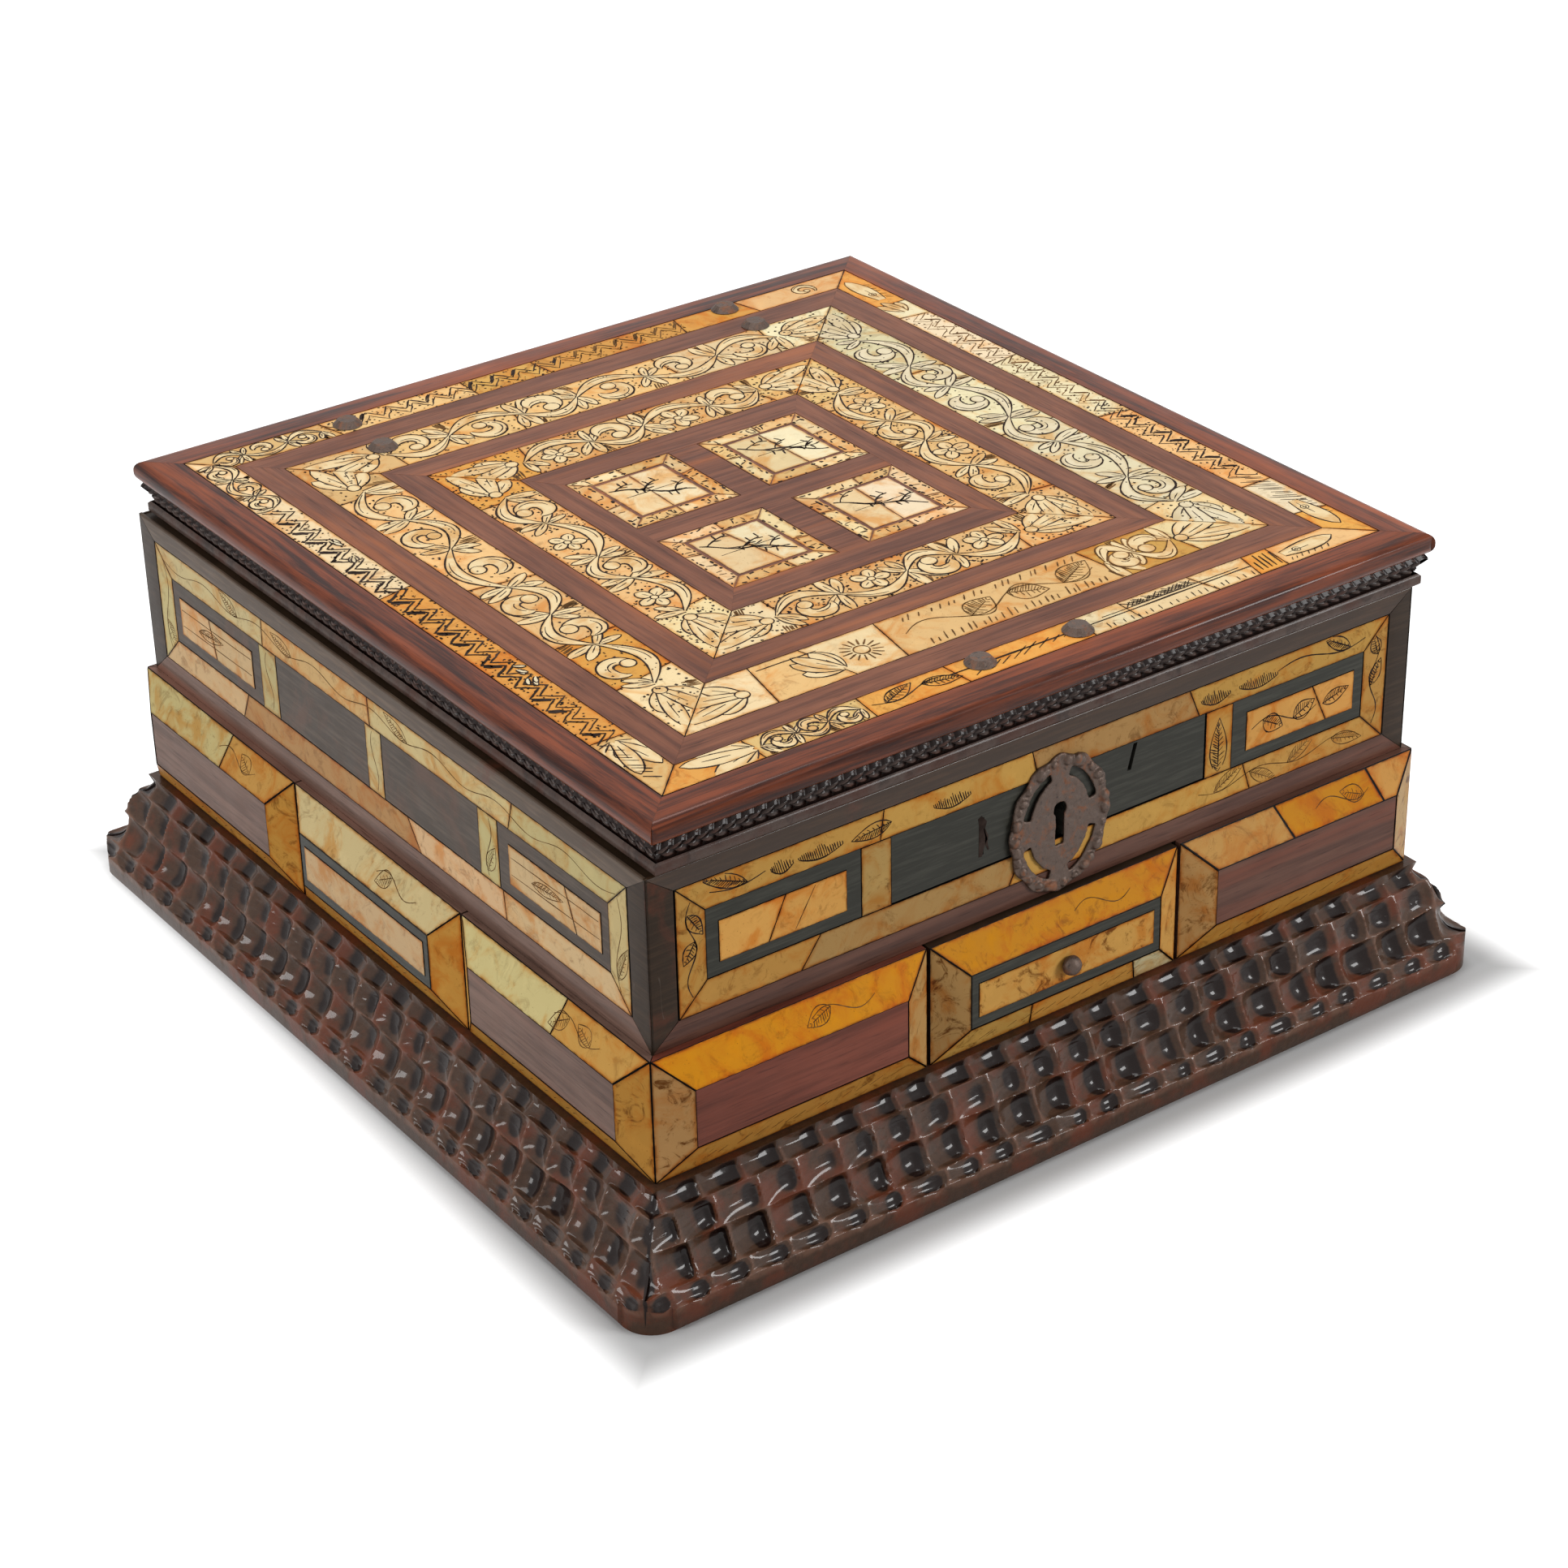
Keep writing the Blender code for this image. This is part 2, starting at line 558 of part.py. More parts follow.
def oval(turn, inset):
    """Return the point of the escutcheon's oval at a turn from the top, inset from its rim."""
    return ((SHIELD_WIDTH / 2 - inset) * math.sin(turn),
            -SHIELD_DROP + (SHIELD_HEIGHT / 2 - inset) * math.cos(turn))


def piercing(middle):
    """Return a curved slot that follows the escutcheon's oval, round a middle turn from the top."""
    steps = 8
    turns = [middle + SHIELD_SLOT_TURN * (k / steps - 0.5) for k in range(steps + 1)]
    outer = [oval(turn, SHIELD_RIM) for turn in turns]
    inner = [oval(turn, SHIELD_RIM + SHIELD_SLOT) for turn in reversed(turns)]
    return outer + inner


def shield_loops():
    """Return the escutcheon's lobed oval, its keyhole and its piercings."""
    count, lobes = 96, 12
    rim = []
    for k in range(count):
        turn = 2 * math.pi * k / count
        wave = 1.0 - 0.045 * (1.0 - math.cos(lobes * turn)) / 2
        rim.append((SHIELD_WIDTH / 2 * wave * math.sin(turn),
                    -SHIELD_DROP + SHIELD_HEIGHT / 2 * wave * math.cos(turn)))
    return [rim, keyhole_loop(0.0)] + [piercing(math.pi * (k + 0.5) / 2) for k in range(4)]


shield = stand_up(outline_mesh("escutcheon", shield_loops(), SHIELD_THICK))
add("escutcheon", shield, (LOCK_X, -HALF_D - CLEAR - SHIELD_THICK / 2, Z_KEY), IRON)
passage = WALL + PLATE_THICK + 2 * OVERCUT
keyway = add("keyway", stand_up(outline_mesh("keyway", [keyhole_loop(CLEAR)], passage)),
             (LOCK_X, -HALF_D - OVERCUT + passage / 2, Z_KEY), None, cutter=True)
cut(front_rail, keyway)
slit_cut = SLIT_DEPTH + OVERCUT
for place, height, rise, lean in zip(SLIT_PLACES, SLIT_HEIGHTS, SLIT_RISES, SLIT_LEANS):
    half = SLIT_WIDTH / 2
    loop = [(-half - lean / 2, -height / 2), (half - lean / 2, -height / 2),
            (half + lean / 2, height / 2), (-half + lean / 2, height / 2)]
    slit = add("slit", stand_up(outline_mesh("slit", [loop], slit_cut)),
               (LOCK_X + place, -HALF_D - OVERCUT + slit_cut / 2, Z_UPPER + rise), None, cutter=True)
    cut(front_rail, slit)

PLATE_Y = -INNER_D + CLEAR
BOLT_Z = Z_KEY + BOLT_RISE
BOLT_Y = PLATE_Y + PLATE_THICK + BOLT_STANDOFF
BOLT_END = LOCK_X + PLATE_WIDTH / 4
lock_plate = box("lock_plate", (LOCK_X - PLATE_WIDTH / 2, PLATE_Y, Z_KEY - PLATE_BELOW),
                 (LOCK_X + PLATE_WIDTH / 2, PLATE_Y + PLATE_THICK, Z_KEY + PLATE_ABOVE), IRON)
bolt_low = (BOLT_END - BOLT_LENGTH, BOLT_Y, BOLT_Z - BOLT_HEIGHT / 2)
bolt_high = (BOLT_END, BOLT_Y + BOLT_THICK, BOLT_Z + BOLT_HEIGHT / 2)
for index, place in enumerate(LUG_PLACES):
    lug_x = BOLT_END - BOLT_LENGTH + place
    lug = box(f"lug_{index}", (lug_x, PLATE_Y + PLATE_THICK / 2, BOLT_Z - BOLT_HEIGHT / 2 - LUG_WALL),
              (lug_x + LUG_WIDTH, BOLT_Y + BOLT_THICK + LUG_WALL, BOLT_Z + BOLT_HEIGHT / 2 + LUG_WALL),
              None, cutter=True)
    fuse(lock_plate, lug)
grow = Vector((OVERCUT, CLEAR, CLEAR))
bolt_way = box("bolt_way", Vector(bolt_low) - grow, Vector(bolt_high) + grow, None, cutter=True)
cut(lock_plate, bolt_way)
cut(lock_plate, keyway)
lock_bolt = box("lock_bolt", bolt_low, bolt_high, IRON, BOLT_AXIS)
tail_x = BOLT_END - BOLT_LENGTH + LUG_PLACES[0] + LUG_WIDTH + TAIL_PLAY
tail = box("bolt_tail", (tail_x, BOLT_Y, BOLT_Z - BOLT_HEIGHT / 2 - BOLT_TAIL),
           (tail_x + LUG_WIDTH, BOLT_Y + BOLT_THICK, BOLT_Z), None, cutter=True)
fuse(lock_bolt, tail)

# Lid: board with rounded nose, mouldings under the nose, inlay and ironwork
NOSE_Z = Z_LID_TOP - LID_NOSE
CORE_W = LID_W - RIPPLE_SET - RIPPLE_REACH
CORE_D = LID_D - RIPPLE_SET - RIPPLE_REACH
SHIFT = Vector((LID_SHIFT_X, LID_SHIFT_Y, 0.0))
lid_board = box("lid_board", Vector((-LID_W, -LID_D, NOSE_Z)) + SHIFT, Vector((LID_W, LID_D, Z_LID_TOP)) + SHIFT,
                RED_WOOD, LID_AXIS)
rounding = lid_board.modifiers.new("nose", "BEVEL")
rounding.width = LID_ROUND
rounding.segments = 3
rounding.limit_method = "ANGLE"
core = box("lid_core", Vector((-CORE_W, -CORE_D, Z_LID)) + SHIFT,
           Vector((CORE_W, CORE_D, NOSE_Z + LID_NOSE / 2)) + SHIFT, None, cutter=True)
fuse(lid_board, core)

QUIRK_Z = Z_LID + CLEAR + FILLET_HEIGHT


def ripple_profile():
    """Return the section of the moulding under the nose: sloping band, quirk, fillet."""
    top = NOSE_Z - CLEAR
    low = Z_LID + CLEAR
    out = RIPPLE_REACH
    return [(CLEAR, low), (out - RIPPLE_SLOPE + FILLET_OUT, low), (out - RIPPLE_SLOPE + FILLET_OUT, QUIRK_Z),
            (out - RIPPLE_SLOPE, QUIRK_Z), (out, top), (CLEAR, top)]


ripple = {}
for side, name in enumerate(("ripple_front", "ripple_right", "ripple_back", "ripple_left")):
    across = side in (FRONT, BACK)
    ripple[side] = moulding(name, ripple_profile(), CORE_D if across else CORE_W, CORE_W if across else CORE_D,
                            DARK_MOULDING, side, LID_AXIS, (LID_SHIFT_X, LID_SHIFT_Y))

# Each bone band is a closed ring that lies in a groove of the lid
edge = LID_BORDER
rings = []
for name, width, strip in (("outer_band", OUTER_BAND, OUTER_STRIP), ("middle_band", MIDDLE_BAND, INNER_STRIP),
                           ("inner_band", INNER_BAND, 0.0)):
    rings.append((name, edge, width))
    edge += width + strip

TOP_DEEP = BONE + CLEAR + OVERCUT
bands = {}
for name, start, width in rings:
    def ring(grow, inset=start, broad=width):
        """Return the ring's outer and inner outline."""
        out_w, out_d = LID_W - inset + grow, LID_D - inset + grow
        in_w, in_d = LID_W - inset - broad - grow, LID_D - inset - broad - grow
        return [rectangle(-out_w, -out_d, out_w, out_d), rectangle(-in_w, -in_d, in_w, in_d)]
    bands[name] = add(name, outline_mesh(name, ring(0.0), BONE), SHIFT + Vector((0.0, 0.0, Z_LID_TOP - BONE / 2)),
                      BONE_INLAY, LID_AXIS)
    groove = add(name + "_groove", outline_mesh(name + "_groove", ring(CLEAR), TOP_DEEP),
                 SHIFT + Vector((0.0, 0.0, Z_LID_TOP + OVERCUT - TOP_DEEP / 2)), None, cutter=True)
    cut(lid_board, groove)

PANEL_W = LID_W - edge - PANEL_MARGIN_X - PANEL_CROSS / 2
PANEL_D = LID_D - edge - PANEL_MARGIN_Y - PANEL_CROSS / 2
for across, word_x in ((-1, "left"), (1, "right")):
    for along, word_y in ((-1, "front"), (1, "back")):
        name = f"lid_panel_{word_y}_{word_x}"
        middle = SHIFT + Vector((across * (PANEL_CROSS + PANEL_W) / 2, along * (PANEL_CROSS + PANEL_D) / 2, Z_LID_TOP))
        half = Vector((PANEL_W / 2, PANEL_D / 2, 0.0))
        box(name, middle - half - Vector((0.0, 0.0, BONE)), middle + half, BONE_INLAY, LID_AXIS)
        half += Vector((CLEAR, CLEAR, 0.0))
        bed = box(name + "_bed", middle - half - Vector((0.0, 0.0, BONE + CLEAR)),
                  middle + half + Vector((0.0, 0.0, OVERCUT)), None, cutter=True)
        cut(lid_board, bed)


def nail(name, piece, x, y, low):
    """Join a nail with a forged head to a piece of ironwork and cut its way through the lid."""
    shank = rod(name + "_shank", (x, y, low), (0, 0, 1), NAIL_RADIUS, Z_LID_TOP + CLEAR + NAIL_RISE / 2 - low,
                None, cutter=True, sides=12)
    head = rod(name + "_head", (x, y, Z_LID_TOP + CLEAR), (0, 0, 1), NAIL_HEAD, NAIL_RISE, None, cutter=True,
               tip=NAIL_CROWN, sides=16)
    fuse(piece, shank)
    fuse(piece, head)
    way = rod(name + "_way", (x, y, low), (0, 0, 1), NAIL_RADIUS + CLEAR, Z_LID_TOP + OVERCUT - low, None,
              cutter=True, sides=12)
    cut(lid_board, way)
    for name_b, start, width in rings:
        near = min(LID_W - abs(x - LID_SHIFT_X), LID_D - abs(y - LID_SHIFT_Y))
        if start - NAIL_RADIUS - CLEAR < near < start + width + NAIL_RADIUS + CLEAR:
            cut(bands[name_b], way)


# Hinges: a leaf on the back wall, a strap let into the lid, and a pin
LID_BACK = LID_SHIFT_Y + LID_D
HINGES = (("left", LID_SHIFT_X - LID_W + HINGE_LEFT_IN, [LID_BACK - inset for inset in HINGE_LEFT_NAILS]),
          ("right", LID_SHIFT_X + LID_W - HINGE_RIGHT_IN, [LID_BACK - inset for inset in HINGE_RIGHT_NAILS]))
KNUCKLE_HALF = KNUCKLE_LENGTH / 2
LEAF_HALF = KNUCKLE_HALF + CLEAR + KNUCKLE_SIDE
STRAP_LOW = Z_LID + CLEAR
for word, x, nails in HINGES:
    leaf_y = HALF_D + CLEAR
    leaf = box("hinge_leaf_" + word, (x - LEAF_HALF, leaf_y, Z_TOP - LEAF_HEIGHT),
               (x + LEAF_HALF, leaf_y + LEAF_THICK, Z_TOP + CLEAR), IRON)
    bore = rod("hinge_bore_" + word, (x - LEAF_HALF - OVERCUT, AXIS_Y, AXIS_Z), (1, 0, 0),
               PIN_RADIUS + RUN_CLEAR, 2 * (LEAF_HALF + OVERCUT), None, cutter=True)
    for way, end in ((-1, "a"), (1, "b")):
        start = x - LEAF_HALF if way < 0 else x + KNUCKLE_HALF + CLEAR
        knuckle = rod(f"leaf_knuckle_{word}_{end}", (start, AXIS_Y, AXIS_Z), (1, 0, 0), KNUCKLE_RADIUS,
                      KNUCKLE_SIDE, None, cutter=True)
        fuse(leaf, knuckle)
    relief = KNUCKLE_RADIUS + CLEAR
    room = box("leaf_room_" + word, (x - KNUCKLE_HALF - CLEAR, leaf_y - OVERCUT, AXIS_Z - relief),
               (x + KNUCKLE_HALF + CLEAR, AXIS_Y, AXIS_Z + relief), None, cutter=True)
    cut(leaf, room)
    cut(leaf, bore)
    strap_back = HALF_D + CLEAR
    strap_front = min(nails) - STRAP_END
    strap = box("hinge_strap_" + word, (x - STRAP_WIDTH / 2, strap_front, STRAP_LOW),
                (x + STRAP_WIDTH / 2, strap_back, STRAP_LOW + STRAP_THICK), IRON, LID_AXIS)
    neck = box("strap_neck_" + word, (x - KNUCKLE_HALF, strap_back - OVERCUT, STRAP_LOW),
               (x + KNUCKLE_HALF, AXIS_Y, STRAP_LOW + STRAP_THICK), None, cutter=True)
    eye = rod("strap_eye_" + word, (x - KNUCKLE_HALF, AXIS_Y, AXIS_Z), (1, 0, 0), KNUCKLE_RADIUS, KNUCKLE_LENGTH,
              None, cutter=True)
    fuse(strap, neck)
    fuse(strap, eye)
    bed = box("strap_bed_" + word, (x - STRAP_WIDTH / 2 - CLEAR, strap_front - CLEAR, Z_LID - OVERCUT),
              (x + STRAP_WIDTH / 2 + CLEAR, AXIS_Y, STRAP_LOW + STRAP_THICK + CLEAR), None, cutter=True)
    cut(lid_board, bed)
    cut(ripple[BACK], bed)
    for index, y in enumerate(nails):
        nail(f"strap_nail_{word}_{index}", strap, x, y, STRAP_LOW + STRAP_THICK / 2)
    cut(strap, bore)
    rod("hinge_pin_" + word, (x - LEAF_HALF, AXIS_Y, AXIS_Z), (1, 0, 0), PIN_RADIUS, 2 * LEAF_HALF, IRON)

# Staple under the lid, whose loop takes the bolt
loop_x = BOLT_END + BOLT_TO_LOOP
loop_y0 = BOLT_Y - LOOP_PLAY - LOOP_RIM
loop_y1 = BOLT_Y + BOLT_THICK + LOOP_PLAY + LOOP_RIM
staple_low = Z_LID + CLEAR
lid_front = LID_SHIFT_Y - LID_D
nail_left = (LOCK_X + STAPLE_NAIL_LEFT[0], lid_front + STAPLE_NAIL_LEFT[1])
nail_right = (LOCK_X + STAPLE_NAIL_RIGHT[0], lid_front + STAPLE_NAIL_RIGHT[1])
staple_x0 = min(nail_left[0], loop_x) - STAPLE_END
staple_x1 = max(nail_right[0], loop_x + LOOP_THICK) + STAPLE_END
staple_y0 = min(loop_y0, nail_left[1] - STAPLE_WIDTH / 2, nail_right[1] - STAPLE_WIDTH / 2)
staple_y1 = max(loop_y1, nail_left[1] + STAPLE_WIDTH / 2, nail_right[1] + STAPLE_WIDTH / 2)
lid_staple = box("lid_staple", (staple_x0, staple_y0, staple_low), (staple_x1, staple_y1, staple_low + STAPLE_THICK),
                 IRON, LID_AXIS)
loop = box("staple_loop", (loop_x, loop_y0, BOLT_Z - BOLT_HEIGHT / 2 - LOOP_PLAY - LOOP_RIM),
           (loop_x + LOOP_THICK, loop_y1, staple_low + STAPLE_THICK / 2), None, cutter=True)
fuse(lid_staple, loop)
window = box("staple_window", (loop_x - OVERCUT, BOLT_Y - LOOP_PLAY, BOLT_Z - BOLT_HEIGHT / 2 - LOOP_PLAY),
             (loop_x + LOOP_THICK + OVERCUT, BOLT_Y + BOLT_THICK + LOOP_PLAY, BOLT_Z + BOLT_HEIGHT / 2 + LOOP_PLAY),
             None, cutter=True)
cut(lid_staple, window)
staple_bed = box("staple_bed", (staple_x0 - CLEAR, staple_y0 - CLEAR, Z_LID - OVERCUT),
                 (staple_x1 + CLEAR, staple_y1 + CLEAR, staple_low + STAPLE_THICK + CLEAR), None, cutter=True)
cut(lid_board, staple_bed)
nail("staple_nail_left", lid_staple, *nail_left, staple_low + STAPLE_THICK / 2)
nail("staple_nail_right", lid_staple, *nail_right, staple_low + STAPLE_THICK / 2)

# Drawer
DRAWER_HALF = OPEN_HALF - SLIDE_CLEAR
SIDE_HALF = GUIDE_IN - SLIDE_CLEAR
DRAWER_LOW = Z_TIER
DRAWER_TOP = Z_UPPER - DRAWER_HEADROOM
FRONT_IN = -TIER_D + DRAWER_FRONT
BOX_Y0 = FRONT_IN + CLEAR
BOX_Y1 = BOX_Y0 + DRAWER_LENGTH
front_mesh = block_mesh("drawer_front", -DRAWER_HALF, DRAWER_HALF, DRAWER_LOW + CLEAR, Z_UPPER - SLIDE_CLEAR / 2,
                        DRAWER_FRONT, False, False)
drawer_front = add("drawer_front", front_mesh, (0.0, -TIER_D, 0.0), BONE_INLAY, DRAWER_AXIS)
for way, word in ((-1, "left"), (1, "right")):
    near, far = sorted((way * SIDE_HALF, way * (SIDE_HALF - DRAWER_WALL)))
    box("drawer_side_" + word, (near, BOX_Y0, DRAWER_LOW), (far, BOX_Y1, DRAWER_TOP), PLAIN_WOOD, DRAWER_AXIS)
INSIDE_HALF = SIDE_HALF - DRAWER_WALL - CLEAR
box("drawer_bottom", (-INSIDE_HALF, BOX_Y0, DRAWER_LOW), (INSIDE_HALF, BOX_Y1, DRAWER_LOW + DRAWER_BOTTOM),
    PLAIN_WOOD, DRAWER_AXIS)
box("drawer_back", (-INSIDE_HALF, BOX_Y1 - DRAWER_WALL, DRAWER_LOW + DRAWER_BOTTOM + CLEAR),
    (INSIDE_HALF, BOX_Y1, DRAWER_TOP), PLAIN_WOOD, DRAWER_AXIS)
box("drawer_stop", (-GUIDE_IN + CLEAR, BOX_Y1 + CLEAR, Z_TIER),
    (GUIDE_IN - CLEAR, BOX_Y1 + CLEAR + STOP_THICK, Z_TIER + STOP_HEIGHT), PLAIN_WOOD)

# Small iron knob whose stem goes through the drawer's front
KNOB_Z = (DRAWER_LOW + Z_UPPER) / 2
face_y = -TIER_D - BLOCK_PROUD
knob = rod("drawer_knob", (0.0, face_y - CLEAR, KNOB_Z), (0, -1, 0), KNOB_STEM * 1.6, KNOB_LENGTH / 2, IRON,
           DRAWER_AXIS, sides=16)
ball_mesh = bpy.data.meshes.new("knob_ball")
ball = bmesh.new()
bmesh.ops.create_uvsphere(ball, u_segments=16, v_segments=8, radius=KNOB_RADIUS)
ball.to_mesh(ball_mesh)
ball.free()
knob_ball = add("knob_ball", ball_mesh, (0.0, face_y - CLEAR - KNOB_LENGTH + KNOB_RADIUS, KNOB_Z), None, None,
                cutter=True)
fuse(knob, knob_ball)
stem = rod("knob_stem", (0.0, face_y - CLEAR - KNOB_LENGTH / 4, KNOB_Z), (0, 1, 0), KNOB_STEM,
           BLOCK_PROUD + DRAWER_FRONT + KNOB_LENGTH / 4, None, cutter=True, sides=12)
fuse(knob, stem)
stem_way = rod("knob_way", (0.0, face_y - OVERCUT, KNOB_Z), (0, 1, 0), KNOB_STEM + CLEAR,
               BLOCK_PROUD + DRAWER_FRONT + 2 * OVERCUT, None, cutter=True, sides=12)
cut(drawer_front, stem_way)
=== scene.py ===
"""Looks of a square table casket: engraved bone inlay in red and ebonised wood, rippled mouldings, iron lock.

All lengths are in metres, in the frame of the solids: +Z up, the front at -Y, the floor at z = 0.
"""

import logging
import math
import random
from contextlib import contextmanager
from dataclasses import dataclass, field, replace
from enum import Enum
from typing import Iterator, Sequence

import bpy
import numpy as np
from mathutils import Matrix, Vector, noise


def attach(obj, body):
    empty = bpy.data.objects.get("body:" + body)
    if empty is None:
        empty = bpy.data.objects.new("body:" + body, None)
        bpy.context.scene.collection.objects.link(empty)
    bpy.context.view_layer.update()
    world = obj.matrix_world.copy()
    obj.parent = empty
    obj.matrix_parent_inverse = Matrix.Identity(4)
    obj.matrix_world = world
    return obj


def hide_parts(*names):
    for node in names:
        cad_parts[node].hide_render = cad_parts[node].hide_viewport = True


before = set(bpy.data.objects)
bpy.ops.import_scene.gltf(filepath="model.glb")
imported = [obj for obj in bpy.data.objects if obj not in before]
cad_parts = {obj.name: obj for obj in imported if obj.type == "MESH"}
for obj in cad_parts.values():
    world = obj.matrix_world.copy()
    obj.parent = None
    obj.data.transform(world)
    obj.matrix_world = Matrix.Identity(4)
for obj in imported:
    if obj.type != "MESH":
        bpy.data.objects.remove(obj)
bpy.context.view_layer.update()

LOG = logging.getLogger("casket")
TINY = 1e-6
SEAM = 0.00015
BROKEN_EDGE = 0.00012
Colour = Point3 = tuple[float, float, float]
Point2 = tuple[float, float]
Socket = bpy.types.NodeSocket
Piece = bpy.types.Object
X_WAY = Vector((1.0, 0.0, 0.0))
Y_WAY = Vector((0.0, 1.0, 0.0))
Z_WAY = Vector((0.0, 0.0, 1.0))


class Side(Enum):
    """The four sides of the case, as quarter turns from the front."""

    FRONT = 0
    RIGHT = 1
    BACK = 2
    LEFT = 3

    def turn(self) -> Matrix:
        """Return the turn that takes a piece built at the front to this side."""
        return Matrix.Rotation(self.value * math.pi / 2, 4, "Z")

    def word(self) -> str:
        """Return the side's name as the solids use it."""
        return self.name.lower()

    @property
    def across(self) -> bool:
        """Tell whether the side runs along X."""
        return self in (Side.FRONT, Side.BACK)


class Tone(Enum):
    """Linear colours of the bone, from fresh cream to old stain."""

    CREAM = (0.62, 0.475, 0.265)
    PALE = (0.6, 0.505, 0.32)
    HONEY = (0.57, 0.37, 0.155)
    AMBER = (0.55, 0.265, 0.058)
    GOLD = (0.52, 0.204, 0.004)
    OCHRE = (0.48, 0.265, 0.066)
    TAN = (0.41, 0.24, 0.084)
    PINK = (0.57, 0.385, 0.2)
    LEMON = (0.49, 0.405, 0.19)
    # Dark amber stain; on the blocks' downward-sloping lower strips it is also painted shade.
    STAIN = (0.43, 0.21, 0.04)
    SUN = (0.63, 0.32, 0.082)


class NodeSheet:
    """The node tree of a material or of the world, written from left to right."""

    def __init__(self, owner: bpy.types.ID, shader: str = "BsdfPrincipled", output: str = "OutputMaterial") -> None:
        """Start an empty tree with one shader."""
        owner.use_nodes = True
        self.tree = owner.node_tree
        self.tree.nodes.clear()
        self.shader = self.add(shader)
        self.add(output, Surface=self.shader.outputs[0])

    def add(self, kind: str, **values: object) -> bpy.types.Node:
        """Add a node and feed its sockets, named with underscores for spaces."""
        node = self.tree.nodes.new("ShaderNode" + kind)
        self.fill(node, **values)
        return node

    def fill(self, node: bpy.types.Node, **values: object) -> None:
        """Feed a node's sockets, named with underscores for spaces."""
        for key, value in values.items():
            self.feed(node.inputs[key.replace("_", " ")], value)

    def feed(self, socket: Socket, value: object) -> None:
        """Set a socket to a number or colour, or link it to another socket."""
        if isinstance(value, Socket):
            self.tree.links.new(value, socket)
        elif isinstance(value, tuple) and len(value) == 3 and socket.type == "RGBA":
            socket.default_value = (*value, 1.0)
        else:
            socket.default_value = value

    def set(self, **values: object) -> None:
        """Feed the shader's sockets."""
        self.fill(self.shader, **values)

    def place(self, scale: Point3 = (1.0, 1.0, 1.0)) -> Socket:
        """Return the piece's own coordinates in metres, stretched per axis."""
        own = self.add("TexCoord").outputs["Object"]
        return self.add("Mapping", Vector=own, Scale=scale).outputs["Vector"]

    def attribute(self, name: str, output: str = "Fac") -> Socket:
        """Return a number or a colour stored on the piece."""
        node = self.add("Attribute")
        node.attribute_name = name
        return node.outputs[output]

    def cloud(self, where: Socket, scale: float, detail: float = 4.0, rough: float = 0.55, bend: float = 0.0) -> Socket:
        """Return cloudy noise from 0 to 1.

        Args:
            where: coordinates that the noise is read at.
            scale: cells in a metre.
            detail: octaves of finer noise.
            rough: strength of the finer octaves.
            bend: how much the noise is drawn out of shape.

        Returns:
            The noise as a number.
        """
        node = self.add("TexNoise", Vector=where, Scale=scale, Detail=detail, Roughness=rough, Distortion=bend)
        return node.outputs["Fac"]

    def specks(self, where: Socket, scale: float) -> Socket:
        """Return the distance to scattered points, small near a point."""
        return self.add("TexVoronoi", Vector=where, Scale=scale).outputs["Distance"]

    def ramp(self, value: Socket, low: float, high: float) -> Socket:
        """Return a number that rises smoothly from 0 at low to 1 at high."""
        node = self.add("MapRange", Value=value, From_Min=low, From_Max=high)
        node.interpolation_type = "SMOOTHSTEP"
        return node.outputs["Result"]

    def patches(self, where: Socket, low: float, high: float, *shape: float) -> Socket:
        """Return soft patches: cloudy noise of a given shape, drawn out between low and high."""
        return self.ramp(self.cloud(where, *shape), low, high)

    def math(self, kind: str, *values: object) -> Socket:
        """Return the result of a sum on one to three numbers."""
        node = self.add("Math")
        node.operation = kind
        for socket, value in zip(node.inputs, values):
            self.feed(socket, value)
        return node.outputs[0]

    def times(self, first: object, second: object) -> Socket:
        """Return the product of two numbers."""
        return self.math("MULTIPLY", first, second)

    def mix(self, share: object, first: object, second: object, blend: str = "MIX") -> Socket:
        """Return a blend of two colours."""
        node = self.add("Mix")
        node.data_type, node.blend_type = "RGBA", blend
        for index, value in ((0, share), (6, first), (7, second)):
            self.feed(node.inputs[index], value)
        return node.outputs[2]

    def layer(self, colour: object, mask: Socket, strength: float, over: object, blend: str = "MIX") -> Socket:
        """Return a colour with another over it where a mask is, at a given strength."""
        return self.mix(self.times(mask, strength), colour, over, blend)

    def bump(self, height: Socket, strength: float, depth: float) -> None:
        """Give the shader a fine relief of a given depth."""
        node = self.add("Bump", Strength=strength, Distance=depth, Height=height)
        self.set(Normal=node.outputs["Normal"])

    def seen(self) -> Socket:
        """Return 1 for what the eye sees directly, mirrored or through glass, and 0 for other light."""
        path = self.add("LightPath").outputs
        seen = path["Is Camera Ray"]
        for kind in ("Is Glossy Ray", "Is Transmission Ray"):
            seen = self.math("MAXIMUM", seen, path[kind])
        return seen


class Finish:
    """A surface finish whose material is made once and shared."""

    made: dict[str, bpy.types.Material] = {}

    def material(self) -> bpy.types.Material:
        """Return the finish's material."""
        key = repr(self)
        if key not in Finish.made:
            Finish.made[key] = bpy.data.materials.new(type(self).__name__.lower())
            self.paint(NodeSheet(Finish.made[key]))
        return Finish.made[key]

    def paint(self, sheet: NodeSheet) -> None:
        """Fill the node tree."""
        raise NotImplementedError


